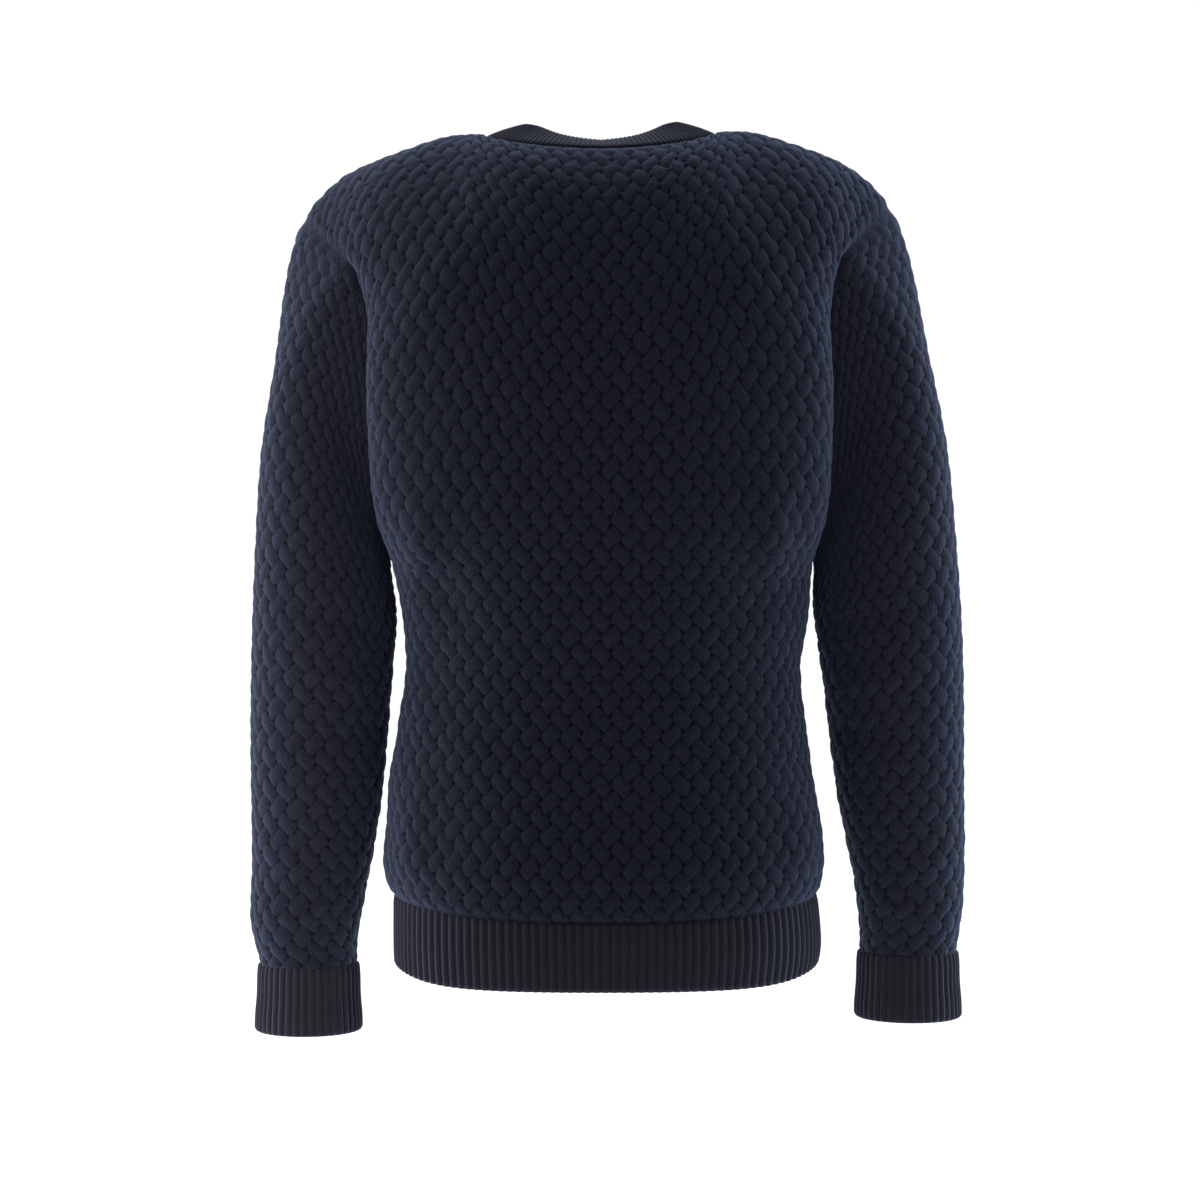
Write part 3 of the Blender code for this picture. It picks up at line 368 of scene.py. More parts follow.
# ---- panels ----
def half_panel(side, face, fine):
    """Middle surface of half the back, or of one front: points[row, column].

    fine is how many columns and rows stand for one of the plain grid.
    """
    cols = SIDE_COLS * fine
    levels = []
    for row in BODY:
        line = low_course(row, side, face, row is BODY[0])
        if face == "front":
            line = from_v_edge(line, BAND_WIDTH / 2)
        levels.append(resample(line, cols))
    underarm = len(levels)
    for row in HIGH_COURSES[face, side]:
        levels.append(resample(from_v_edge(high_course(row, side), row[-1]), cols))
    if face == "back":
        shoulder_cols = (SIDE_COLS - NECK_COLS) * fine
        neck = neck_line(side, NECK_COLS * fine)
        top = np.vstack((neck, shoulder_line(side, shoulder_cols)[1:]))
        below = soften(top + fall(BACK_FALL, side, cols), cols)
        beyond = fall(FRONT_FALL, side, shoulder_cols)
        share = np.linspace(0, 1, NECK_COLS * fine + 1)[:, None] ** 3
        lean = np.array(NECK_LEAN, float) * (1 - share) + beyond[0] * share
        beyond = np.vstack((lean, beyond[1:]))
    else:
        top = shoulder_line(side, cols)
        below = top + fall(FRONT_FALL, side, cols)
        beyond = fall(BACK_FALL[1:], side, cols)
    levels = np.array(levels + [below, top, top + beyond])
    steps = np.linalg.norm(np.diff(levels, axis=0), axis=2).mean(axis=1)
    knots = np.concatenate(([0.0], np.cumsum(steps)))
    low = spline(knots, levels, np.linspace(0, knots[underarm], CURVE_STEPS))
    up = spline(knots, levels, np.linspace(knots[underarm], knots[-2], CURVE_STEPS))
    grid = np.zeros(((LOW_ROWS + TOP_ROWS) * fine + 1, cols + 1, 3))
    for i in range(cols + 1):
        lower = resample(low[:, i], LOW_ROWS * fine)
        upper = resample(up[:, i], TOP_ROWS * fine)
        grid[:, i] = np.vstack((lower, upper[1:]))
    return grid


def normals(grid, flip, wrap=False):
    """Outward directions of a grid of points."""
    if wrap:
        across = np.roll(grid, -1, axis=1) - np.roll(grid, 1, axis=1)
    else:
        across = np.gradient(grid, axis=1)
    out = unit(np.cross(across, np.gradient(grid, axis=0)))
    return -out if flip else out


def panel_normals(grids):
    """Outward directions of the panels or the hems, by name."""
    return {name: normals(grid, name != "left_front") for name, grid in grids.items()}


def fold_height(grid, face):
    """Long soft ridges that the worn cloth makes."""
    x, z = grid[..., 0], grid[..., 2]
    height = np.zeros_like(x)
    for panel, middle, top, bottom, rise, half in FOLDS:
        if panel == face:
            sway = 4 * np.sin((z - bottom) / 55.0)
            ends = smooth((top - z) / 60.0) * smooth((z - bottom) / 40.0)
            height += rise * ends * np.exp(-(((x - middle - sway) / half) ** 2))
    return height[..., None]


def lift_front(grid, out, side, fine):
    """The left front comes out, and the right goes in, to their bands."""
    cols = np.arange(grid.shape[1]) / (LIFT_COLS * fine)
    fastened = smooth((20.0 - (grid[:, :1, 2] - V_FREE)) / 60.0)
    share = (1 - smooth(cols)) * fastened
    return grid + out * (side * BAND_LIFT * share)[..., None]


def body_panels(fine=1):
    """Middle surfaces and normals of the back and the two fronts."""
    left, right = (half_panel(side, "back", fine) for side in (LEFT, RIGHT))
    back = np.concatenate((right[:, ::-1], left[:, 1:]), axis=1)
    back[:, right.shape[1] - 1] = (right[:, 0] + left[:, 0]) / 2
    panels = {"back": back}
    low = slice(0, LOW_ROWS * fine + 1)
    for front, side, column in FRONTS:
        panels[front] = half_panel(side, "front", fine)
        seam = (back[low, column] + panels[front][low, -1]) / 2
        seam[:, 1] = 0.0
        back[low, column] = seam
        panels[front][low, -1] = seam
    for name, out in panel_normals(panels).items():
        grid = panels[name]
        cols = np.arange(grid.shape[1])
        fade = smooth(np.minimum(cols, cols[::-1]) / (2.0 * fine))[None, :, None]
        face = "back" if name == "back" else "front"
        grid = grid + out * fold_height(grid, face) * fade
        for front, side, _ in FRONTS:
            if name == front:
                grid = lift_front(grid, out, side, fine)
        panels[name] = grid
    outs = panel_normals(panels)
    for front, _, column in FRONTS:
        shared = unit(outs["back"][low, column] + outs[front][low, -1])
        outs["back"][low, column] = shared
        outs[front][low, -1] = shared
    for name in panels:
        top = outs[name][-1]
        top[np.abs(panels[name][-1, :, 1] - SEAM_Y) < 0.01, 1] = 0.0
        outs[name][-1] = unit(top)
    return panels, outs


# ---- sleeves ----
def armhole(panels, side, fine, inward=0):
    """A ring: the shoulder point, down the back, up the front.

    It is the armhole, or as many columns as inward says inside the body.
    """
    front, _, column = FRONTS[0 if side > 0 else 1]
    low = LOW_ROWS * fine
    back = panels["back"][low:, column - side * inward]
    return np.vstack((back[::-1], panels[front][low:, -1 - inward][1:-1]))


def tube_ring(row, side, count):
    outer_z, inner_z, outer_x, inner_x, middle_y, depth, pinch = row
    angle = 2 * math.pi * np.arange(count) / count
    x = (outer_x + inner_x) / 2 + (outer_x - inner_x) / 2 * np.cos(angle)
    inside = (1 - np.cos(angle)) / 2
    y = middle_y + depth * np.sin(angle) * (1 - pinch * inside)
    z = outer_z + (inner_z - outer_z) * inside ** RING_SAG
    return stack(side * x, y, z)


def sleeve(panels, side, fine):
    """Middle surface of a sleeve: rows from the armhole, columns round it."""
    ring = armhole(panels, side, fine)
    count = len(ring)
    rings = np.array([ring] + [tube_ring(row, side, count) for row in SLEEVE[side]])
    turn = np.minimum(np.arange(count), count - np.arange(count)) / fine
    share = (1 - smooth(turn / LEAD_REACH))[:, None] * LEAD_ON
    lead = armhole(panels, side, fine, LEAD_COLS * fine)
    straight = ring - BACK_STEP * (rings[1] - ring)
    before = lead * share + straight * (1 - share)
    levels = np.concatenate((before[None], rings))
    knots = lengths(levels[:, 0])
    at = np.linspace(knots[1], knots[-1], SLEEVE_ROWS * fine + 1)
    return spline(knots, levels, at)


# ---- hems and bands ----
def hem_line(row, side, face):
    line = low_course(row, side, face)
    if row is HEM[-1]:
        x = np.abs(line[:, 0])
        line[:, 2] += HEM_RISE * (x / x.max()) ** 7
    if face == "front":
        line = from_v_edge(line, BAND_WIDTH / 2)
    return resample(line, SIDE_COLS)


def hem_grids(panels):
    """Middle surfaces of the three hems, from their lower edge up to the seam."""
    back = [np.vstack((hem_line(row, RIGHT, "back")[::-1],
                       hem_line(row, LEFT, "back")[1:])) for row in HEM]
    grids = {"back": np.array(back[::-1] + [panels["back"][0]])}
    for name, side, _ in FRONTS:
        lines = [hem_line(row, side, "front") for row in HEM]
        grid = np.array(lines[::-1] + [panels[name][0]])
        share = 1 - smooth(np.arange(grid.shape[1]) / LIFT_COLS)
        lift = side * BAND_LIFT * share[None, :, None] * normals(grid, side < 0)
        lift[-1] = 0.0
        grids[name] = grid + lift
    return grids


def hem_normals(grids, outs):
    made = panel_normals(grids)
    for name in grids:
        made[name][-1] = outs[name][0]
    return made


def band_edges(panels, outs, hems, hem_outs):
    """Of each front band: its seam edge, the step across it, and its normals."""
    made = {}
    for front, side, _ in FRONTS:
        edge = np.vstack((hems[front][:-1, 0], panels[front][:, 0]))
        out = np.vstack((hem_outs[front][:-1, 0], outs[front][:, 0]))
        across = unit(np.cross(out, unit(np.gradient(edge, axis=0))))
        across *= np.sign(-side * across[:, :1]) * BAND_WIDTH
        z = edge[:, 2]
        last = np.array((-side * BAND_TOP[0], 0.0, BAND_TOP[1]))
        share = smooth((z + 90.0) / 86.0)[:, None] ** 1.5
        across = across * (1 - share) + last * share
        straight = np.array((-side * (BAND_WIDTH - 0.8), 0.0, 0.0))
        share = smooth((-240.0 - z) / 40.0)[:, None]
        made[side] = edge, across * (1 - share) + straight * share, out
    return made


# ---- fine surfaces ----
def upsample(grid, rows, cols, wrap=False):
    """The same surface on another grid, smoothly."""
    if wrap:
        grid = np.concatenate((grid[:, -3:], grid, grid[:, :4]), axis=1)
        at = 3 + np.arange(cols) * (grid.shape[1] - 7) / cols
    else:
        at = np.linspace(0, grid.shape[1] - 1, cols)
    down = np.linspace(0, grid.shape[0] - 1, rows)
    grid = spline(np.arange(grid.shape[0]), grid, down).transpose(1, 0, 2)
    return spline(np.arange(grid.shape[0]), grid, at).transpose(1, 0, 2)


def along_lengths(grid):
    """Distance of each point from the first row, along its column."""
    steps = np.linalg.norm(np.diff(grid, axis=0), axis=2)
    return np.concatenate((np.zeros((1, grid.shape[1])), np.cumsum(steps, axis=0)))


def across_lengths(grid, start=0):
    """Distance along each row, counted from the column start."""
    run = along_lengths(grid.transpose(1, 0, 2)).T
    return run - run[:, start:start + 1]


def uneven(u, v, first):
    """Hand knitting is never quite even: a small shift of the tiles, in tiles."""
    a = np.sin(2.1 * u + 1.3 * v + first) * np.sin(0.9 * v - 1.7 * u + 2.0 * first + 1.0)
    b = np.sin(1.9 * v - 1.1 * u + 2.0 + first) * np.sin(1.2 * u + 2.3 * v + first)
    c = np.sin(4.3 * u + 0.7 * v + first) * np.sin(3.7 * v + 0.4 * u)
    return u + 0.035 * a + 0.02 * c, v + 0.035 * b


def cable_height(u, v):
    """Height of the basket cable, 0 to 1. u is in cables, v in crossings.

    Each tile leans left or right by turns, and the highest one shows.
    """
    best = second = np.full(u.shape, -9.0)
    for k in (-1, 0, 1):
        row = np.floor(v) + k
        odd = np.mod(row, 2)
        rise = v - row - 0.5
        away = u - 0.5 * odd - LEAN * (1 - 2 * odd) * 0.5 * rise
        away -= np.round(away)
        height = (1 - TILE_SIDE * np.abs(2 * away) ** TILE_POINT
                  - (np.abs(rise) / TILE_REACH) ** TILE_POINT)
        second = np.maximum(second, np.minimum(best, height))
        best = np.maximum(best, height)
    seam = smooth((best - second) / TILE_SEAM)
    return np.clip(best, 0, 1) ** TILE_FLAT * (SEAM_HEIGHT + (1 - SEAM_HEIGHT) * seam)


def edge_fade(grid, reach_rows, reach_cols):
    """0 at the edges of a panel, 1 inside, so that it sinks into its seams."""
    near = [smooth(np.minimum(np.arange(count), np.arange(count)[::-1]) / reach)
            for count, reach in zip(grid.shape, (reach_rows, reach_cols))]
    return np.minimum(near[0][:, None], near[1][None, :])


def dents(p, q, table):
    """Soft troughs and ridges along short lines: p, q, p, q, height, half width."""
    total = np.zeros(p.shape)
    for p1, q1, p2, q2, height, half in table:
        dp, dq = p2 - p1, q2 - q1
        t = np.clip(((p - p1) * dp + (q - q1) * dq) / (dp * dp + dq * dq), 0, 1)
        bow = 0.12 * np.hypot(dp, dq) * np.sin(math.pi * t) * np.sign(height)
        away = np.hypot(p - p1 - dp * t - bow * 0.3, q - q1 - dq * t)
        taper = 0.35 + 0.65 * np.sin(math.pi * np.clip(t, 0.02, 0.98))
        total += height * taper * np.exp(-((away / half) ** 2))
    return total


def rib_wave(turn, power):
    """0 between two ribs and 1 on a rib. turn counts the ribs."""
    return (0.5 - 0.5 * np.cos(2 * math.pi * turn)) ** power


# ---- meshes ----
def mesh_piece(name, points, quads, uv, material, slot_name):
    """A visible piece from points in millimetres, quads of them, and their UVs."""
    points, quads, uv = points.reshape(-1, 3), quads.reshape(-1, 4), uv.reshape(-1, 2)
    mesh = bpy.data.meshes.new(name)
    mesh.vertices.add(len(points))
    mesh.vertices.foreach_set("co", (points * MM).astype(np.float32).ravel())
    mesh.loops.add(quads.size)
    mesh.loops.foreach_set("vertex_index", quads.astype(np.int32).ravel())
    mesh.polygons.add(len(quads))
    mesh.polygons.foreach_set("loop_start", np.arange(0, quads.size, 4, dtype=np.int32))
    layer = mesh.uv_layers.new(name="knit")
    layer.data.foreach_set("uv", uv[quads.ravel()].astype(np.float32).ravel())
    mesh.update(calc_edges=True)
    mesh.validate()
    mesh.shade_smooth()
    mesh.materials.append(material)
    piece = bpy.data.objects.new(name, mesh)
    bpy.context.scene.collection.objects.link(piece)
    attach(piece, ROOT)
    return piece


def knit_sheet(name, node, points, uv, outward):
    """An open sheet from a grid of points. Its faces turn to outward(x, y, z)."""
    index = np.arange(points[..., 0].size).reshape(points.shape[:2])
    quads = stack(index[:-1, :-1], index[:-1, 1:], index[1:, 1:], index[1:, :-1])
    piece = mesh_piece(name, points, quads, uv, KNIT, "navy_basket_knit")
    mesh = piece.data
    centres, turned = (np.zeros(len(mesh.polygons) * 3) for _ in range(2))
    mesh.polygons.foreach_get("center", centres)
    mesh.polygons.foreach_get("normal", turned)
    if np.sum(turned.reshape(-1, 3) * outward(centres.reshape(-1, 3) / MM)) < 0:
        mesh.flip_normals()
    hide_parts(node)
    return piece


def turn_closed(piece):
    """Turn the faces of a closed piece outwards."""
    work = bmesh.new()
    work.from_mesh(piece.data)
    bmesh.ops.recalc_face_normals(work, faces=work.faces)
    if work.calc_volume(signed=True) < 0:
        bmesh.ops.reverse_faces(work, faces=work.faces)
    work.to_mesh(piece.data)
    work.free()


def slab(name, grid, out, high, low, uv, material, slot_name):
    """A closed band: an outer and an inner face and a rim, all fine."""
    rows, cols = grid.shape[:2]
    outer = grid + out * high[..., None]
    inner = grid - out * low[..., None]
    loop = np.concatenate((outer, inner[:, ::-1]), axis=1)
    turn = np.concatenate((uv, uv[:, ::-1]), axis=1)
    index = np.arange(rows * 2 * cols).reshape(rows, 2 * cols)
    around = np.roll(index, -1, axis=1)
    quads = [stack(index[:-1], around[:-1], around[1:], index[1:]).reshape(-1, 4)]
    for row in (0, -1):
        near, far = index[row, :cols], index[row, cols:][::-1]
        cap = stack(near[:-1], near[1:], far[1:], far[:-1])
        quads.append(cap[:, ::-1] if row == 0 else cap)
    piece = mesh_piece(name, loop, np.concatenate(quads), turn, material, slot_name)
    turn_closed(piece)
    return piece


def ring_quads(rings, count):
    """Quads of a pipe of rings, each of count points."""
    index = np.arange(rings * count).reshape(rings, count)
    around = np.roll(index, -1, axis=1)
    return stack(index[:-1], around[:-1], around[1:], index[1:]).reshape(-1, 4)


# ---- materials ----
def sum_of(operation):
    """An operator of Value, which adds a maths node."""
    return lambda self, other: self.nodes.math(operation, self, other)


class Value:
    """A node's output, with which sums are written as usual."""
    __add__, __sub__ = sum_of("ADD"), sum_of("SUBTRACT")
    __mul__ = __rmul__ = sum_of("MULTIPLY")
    __truediv__, __pow__ = sum_of("DIVIDE"), sum_of("POWER")

    def __init__(self, nodes, socket):
        self.nodes, self.socket = nodes, socket

    def __rsub__(self, other):
        return self.nodes.math("SUBTRACT", other, self)

    def __abs__(self):
        return self.nodes.math("ABSOLUTE", self)


class Nodes:
    """A short way to add nodes to a tree."""

    def __init__(self, owner, shader="Principled BSDF"):
        owner.use_nodes = True
        self.tree = owner.node_tree
        self.shader = self.tree.nodes[shader]

    def add(self, kind, **values):
        node = self.tree.nodes.new(kind)
        for key, value in values.items():
            setattr(node, key, value)
        return node

    def put(self, socket, value):
        if isinstance(value, Value):
            self.tree.links.new(value.socket, socket)
        else:
            socket.default_value = value

    def set(self, **values):
        """Set the shader's sockets. A line in a name stands for a space."""
        for key, value in values.items():
            self.put(self.shader.inputs[key.replace("_", " ")], value)

    def read(self, kind, output, **values):
        return Value(self, self.add(kind, **values).outputs[output])

    def math(self, operation, *values):
        node = self.add("ShaderNodeMath", operation=operation)
        for socket, value in zip(node.inputs, values):
            self.put(socket, value)
        return Value(self, node.outputs[0])

    def ramp(self, value, low, high, first, last):
        node = self.add("ShaderNodeMapRange", interpolation_type="SMOOTHSTEP")
        for socket, item in zip(node.inputs, (value, low, high, first, last)):
            self.put(socket, item)
        return Value(self, node.outputs[0])

    def noise(self, scale, detail, roughness):
        node = self.add("ShaderNodeTexNoise")
        place = self.add("ShaderNodeTexCoord").outputs["Object"]
        self.tree.links.new(place, node.inputs["Vector"])
        node.inputs["Scale"].default_value = scale
        node.inputs["Detail"].default_value = detail
        node.inputs["Roughness"].default_value = roughness
        return Value(self, node.outputs["Fac"])

    def parts(self, vector):
        """The first two numbers of a vector."""
        split = self.add("ShaderNodeSeparateXYZ")
        self.put(split.inputs[0], vector)
        return Value(self, split.outputs[0]), Value(self, split.outputs[1])

    def mixed(self, share, dark, light):
        """Base colour between two colours."""
        mix = self.add("ShaderNodeMix", data_type="RGBA")
        mix.inputs["A"].default_value = (*dark, 1.0)
        mix.inputs["B"].default_value = (*light, 1.0)
        self.put(mix.inputs["Factor"], share)
        self.put(self.shader.inputs["Base Color"], Value(self, mix.outputs["Result"]))

    def bump(self, height, strength, distance):
        node = self.add("ShaderNodeBump")
        node.inputs["Strength"].default_value = strength
        node.inputs["Distance"].default_value = distance
        self.put(node.inputs["Height"], height)
        self.put(self.shader.inputs["Normal"], Value(self, node.outputs[0]))


def new_material(name, **values):
    """A material with these values in its shader, and its nodes."""
    made = bpy.data.materials.new(name)
    n = Nodes(made)
    n.set(**values)
    return made, n


def cloth(name, sheen, tint):
    """A rough material, its nodes, and the knit's UVs as two values."""
    made, n = new_material(name, Roughness=0.95, Specular_IOR_Level=0.12,
                           Sheen_Weight=sheen, Sheen_Roughness=0.42,
                           Sheen_Tint=(*tint, 1.0))
    u, v = n.parts(n.read("ShaderNodeUVMap", 0, uv_map="knit"))
    return made, n, u, v


def knit_material(name, colour, sheen, tint):
    """The tiles of cable_height again, with stitches and wool, and with shade painted
    into the grooves between the tiles and between the stitches.
    """
    made, n, u, v = cloth(name, sheen, tint)
    best = second = -9.0
    best_away = best_rise = 0.0
    whole = n.math("FLOOR", v)
    for k in (-1.0, 0.0, 1.0):
        row = whole + k
        odd = n.math("FLOORED_MODULO", row, 2.0)
        rise = v - row - 0.5
        away = u - odd * 0.5 - (1.0 - odd * 2.0) * rise * (0.5 * LEAN)
        away = (away - n.math("ROUND", away)) * 2.0
        height = (1.0 - abs(away) ** TILE_POINT * TILE_SIDE
                  - (abs(rise) / TILE_REACH) ** TILE_POINT)
        more = n.math("GREATER_THAN", height, best)
        second = n.math("MAXIMUM", second, n.math("MINIMUM", best, height))
        best = n.math("MAXIMUM", height, best)
        best_away = away * more + best_away * (1.0 - more)
        best_rise = rise * more + best_rise * (1.0 - more)
    seam = n.ramp(best - second, 0.0, TILE_SEAM, 0.0, 1.0)
    dome = (n.math("MAXIMUM", best, 0.0) ** TILE_FLAT
            * (seam * (1 - SEAM_HEIGHT) + SEAM_HEIGHT))
    leg = abs(n.math("FRACT", (best_away + 1.0) * (WALES / 2)) - 0.5)
    bend = n.math("FRACT", leg * 1.6 + best_rise * STITCHES)
    hump = n.math("SINE", bend * math.pi)
    ridge = 1.0 - (leg * 2.0) ** 2.5
    stitch = ridge * n.ramp(leg, 0.0, 0.09, 0.72, 1.0) * (hump * 0.45 + 0.55)
    fuzz = n.noise(900.0, 3.0, 0.7)
    wool = n.noise(700.0, 3.0, 0.7)
    wander = n.noise(60.0, 2.0, 0.5)
    n.bump(fuzz * 1.8 + stitch * 0.55 + dome, 0.6, 0.0006)
    # painted shade: the colour darkens in the grooves between the tiles, and by stitch
    # between the stitches; wander and wool are the yarn's own uneven tone
    painted_groove_shade = n.ramp(best, 0.02, 0.22, 0.0, 1.0) * (seam * 0.72 + 0.28)
    shade_and_mottle = painted_groove_shade * (stitch * 0.35 + 0.65) * (wander * 0.5 + 0.75)
    shade_and_mottle = shade_and_mottle * n.ramp(wool, 0.38, 0.62, 0.4, 1.6)
    n.mixed(shade_and_mottle, [c * GROOVE_PAINTED_SHADE for c in colour], colour)
    return made


def rib_material(name, colour, sheen, tint, rows, dark):
    """Ribs with small stitches, and painted shade between the ribs. The UV runs one unit
    a rib across, rows along.
    """
    made, n, u, v = cloth(name, sheen, tint)
    leg = abs(n.math("FRACT", u) - 0.5)
    bend = n.math("FRACT", leg * 1.3 + v * rows)
    hump = n.math("SINE", bend * math.pi)
    stitch = n.ramp(leg, 0.22, 0.48, 1.0, 0.0) * (hump * 0.4 + 0.6)
    fuzz = n.noise(1800.0, 3.0, 0.7)
    wander = n.noise(60.0, 2.0, 0.5)
    n.bump(fuzz * 0.5 + stitch, 0.5, 0.0005)
    # painted shade: between the ribs the colour falls to the share dark; wander is the
    # yarn's own uneven tone
    shade_and_mottle = (stitch * 0.75 + 0.25) * (wander * 0.5 + 0.75)
    n.mixed(shade_and_mottle, [c * dark for c in colour], colour)
    return made


def horn_material():
    made, n = new_material("dark_horn", Roughness=0.32, Coat_Weight=0.25)
    cloud = n.ramp(n.noise(180.0, 4.0, 0.6), 0.35, 0.7, 0.0, 1.0)
    n.mixed(cloud, (0.010, 0.008, 0.008), (0.055, 0.038, 0.028))
    return made


GROOVE_PAINTED_SHADE = 0.22     # painted shade in a groove: its colour, as a share of the tile's
KNIT = knit_material("navy_basket_knit_look", (0.0104, 0.0110, 0.0196), 0.26,
                     (0.50, 0.64, 1.0))
# the last number of a rib_material: the painted shade between the ribs, as a share of the
# colour
RIB = rib_material("navy_rib_look", (0.0145, 0.0140, 0.0195), 0.21,
                   (0.62, 0.70, 1.0), 3.0, 0.62)
BAND = rib_material("navy_fine_rib_look", (0.0140, 0.0138, 0.0205), 0.16,
                    (0.70, 0.75, 1.0), 2.0, 0.60)
HORN = horn_material()
THREAD = rib_material("navy_thread", (0.026, 0.026, 0.036), 0.15,
                      (0.7, 0.75, 1.0), 3.0, 0.4)
# a near black disc in each of a button's holes: painted shade inside the holes
HOLE_SHADE, _ = new_material("button_hole_painted_shade", Base_Color=(0.004, 0.0035, 0.0035, 1.0))

# ---- knitted panels ----
BACK_DENTS = (
    # x, z, x, z, height, half width
    (150, -338, 92, -398, -2.4, 13), (-150, -340, -96, -392, -2.2, 14),
    (148, -300, 60, -262, -1.6, 18), (-146, -298, -70, -250, -1.6, 18),
    (-60, -470, -150, -520, 1.6, 14), (70, -500, 150, -462, 1.6, 15),
    (40, -560, 130, -590, 1.8, 16), (-50, -575, -140, -588, 1.8, 16),
    (0, -60, 0, -230, -1.2, 26), (100, -80, 150, -180, 1.4, 18),
    (-100, -80, -148, -175, 1.4, 18), (150, -430, 156, -560, -2.0, 9),
    (-152, -400, -158, -500, -2.0, 9),
)
FRONT_DENTS = (
    (148, -335, 80, -400, -2.4, 13), (-148, -335, -80, -400, -2.4, 13),
    (140, -470, 60, -500, 1.6, 15), (-130, -500, -50, -470, 1.6, 15),
    (50, -575, 140, -588, 1.8, 16), (-50, -572, -140, -590, 1.8, 16),
    (105, -90, 140, -210, 1.4, 18), (-105, -90, -140, -210, 1.4, 18),
)
# turn round the sleeve in degrees from its outside, z, turn, z, height, half width
SLEEVE_DENTS = (
    (150, -395, 60, -372, -2.2, 9), (150, -440, 70, -425, 2.0, 10),
    (165, -470, 85, -482, -2.2, 9), (-150, -400, -60, -380, -2.2, 9),
    (-155, -455, -70, -440, 2.0, 10), (-160, -500, -80, -512, -2.0, 9),
    (30, -250, 80, -330, 1.5, 14), (-30, -250, -80, -330, 1.5, 14),
    (20, -560, 100, -590, 1.5, 10), (-20, -575, -110, -600, 1.5, 10),
    (130, -610, 40, -635, 1.8, 8), (-140, -605, -50, -630, 1.8, 8),
)
AROUND = 0.8           # millimetres that a degree round the sleeve counts for
# panel, side, columns, flat width and area in metres, first phase of its unevenness
PANELS = (
    ("back", 0, 251, 0.50, 0.31, 9),
    ("left_front", LEFT, 121, 0.25, 0.14, 15),
    ("right_front", RIGHT, 121, 0.25, 0.14, 16),
)


def make_panels(panels):
    share = LOW_ROWS / (LOW_ROWS + TOP_ROWS)
    at = np.linspace(0, 1, PANEL_ROWS)
    # crossings, counted with the courses: the low and the high part in step
    crossings = np.where(at < share, at / share * LOW_CROSSINGS,
                         LOW_CROSSINGS + (at - share) / (1 - share) * TOP_CROSSINGS)
    for name, side, cols, width, area, first in PANELS:
        grid = upsample(panels[name], PANEL_ROWS, cols)
        out = normals(grid, name != "left_front")
        if side:
            u = side * across_lengths(grid) + grid[:, :1, 0]
        else:
            u = across_lengths(grid, cols // 2)
        u, v = uneven(u / PANEL_WIDE, crossings[:, None] + 0.25, first)
        fade = edge_fade(u, 5, 4)
        table = FRONT_DENTS if side else BACK_DENTS
        dent = dents(grid[..., 0], grid[..., 2], table) * edge_fade(u, 40, 16)
        high = (GROOVE_OUT + dent + cable_height(u, v) * CABLE_RISE * fade
                - (1 - fade) * SEAM_SINK)
        towards = (0, -1 if side else 1, 0)
        piece = knit_sheet(name + "_knit", name, grid + out * high[..., None],
                           stack(u, v), lambda p: p * 0 + towards)


def make_sleeve_knit(side, node, grid):
    rows, cols = SLEEVE_FINE_ROWS, SLEEVE_FINE_COLS
    fine_grid = upsample(grid, rows, cols, wrap=True)
    out = normals(fine_grid, side > 0, wrap=True)
    run = across_lengths(np.concatenate((fine_grid, fine_grid[:, :1]), axis=1))
    whole = run[:, -1:]
    half = np.where(run <= whole / 2, run, run - whole)
    length = along_lengths(fine_grid)
    level = np.linspace(1, 0, rows)[:, None] * SLEEVE_MEAN
    v = (SLANT * level + (1 - SLANT) * (length[-1:] - length)) / SLEEVE_HIGH
    # the seam runs down the inside of the arm: cut the sheet there
    cut = cols // 2
    order = np.concatenate((np.arange(cut, cols), np.arange(0, cut + 1)))
    points, out, v = fine_grid[:, order], out[:, order], v[:, order]
    u = half[:, order]
    u[:, 0] = half[:, cut] - whole[:, 0]
    turn = np.degrees(u / whole * 2 * math.pi)
    scale = np.array((AROUND, 1, AROUND, 1, 1, 1))
    dent = dents(turn * AROUND, points[..., 2], SLEEVE_DENTS * scale)
    u, v = uneven(u / SLEEVE_WIDE, v, 3.0 + side)
    fade = edge_fade(u, 5, 3)
    calm = smooth(np.arange(rows) / 24.0)[:, None]
    high = (GROOVE_OUT + dent * calm + cable_height(u, v) * CABLE_RISE * fade
            - (1 - fade) * SEAM_SINK)
    middle = fine_grid.mean(axis=(0, 1))
    piece = knit_sheet(node + "_knit", node, points + out * high[..., None],
                       stack(u, v), lambda p: (p - middle) * (1, 1, 0))


# ---- ribbed pieces ----
def make_hem_pieces(hems):
    for name, grid in hems.items():
        node = name.replace("_front", "") + "_hem"
        width = across_lengths(grid)[1, -1]
        ribs = int(round(width / HEM_RIB))
        cols = ribs * RIB_STEPS + 1
        fine_grid = upsample(grid, HEM_ROWS, cols)
        out = normals(fine_grid, name != "left_front")
        turn = np.linspace(0, ribs, cols)[None, :]
        level = np.arange(HEM_ROWS)[:, None]
        soft = smooth((level + 0.6) / 1.6) * smooth((HEM_ROWS - 0.2 - level) / 2.0)
        high = RIB_LOW + (RIB_HIGH - RIB_LOW) * rib_wave(turn, 0.85)
        piece = slab(node + "_rib", fine_grid, out, high * (0.45 + 0.55 * soft),
                     WALL_IN * (0.5 + 0.5 * soft),
                     stack(turn, along_lengths(fine_grid) / HEM_RIB), RIB, "navy_rib")
        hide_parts(node)
        name + "_knit"


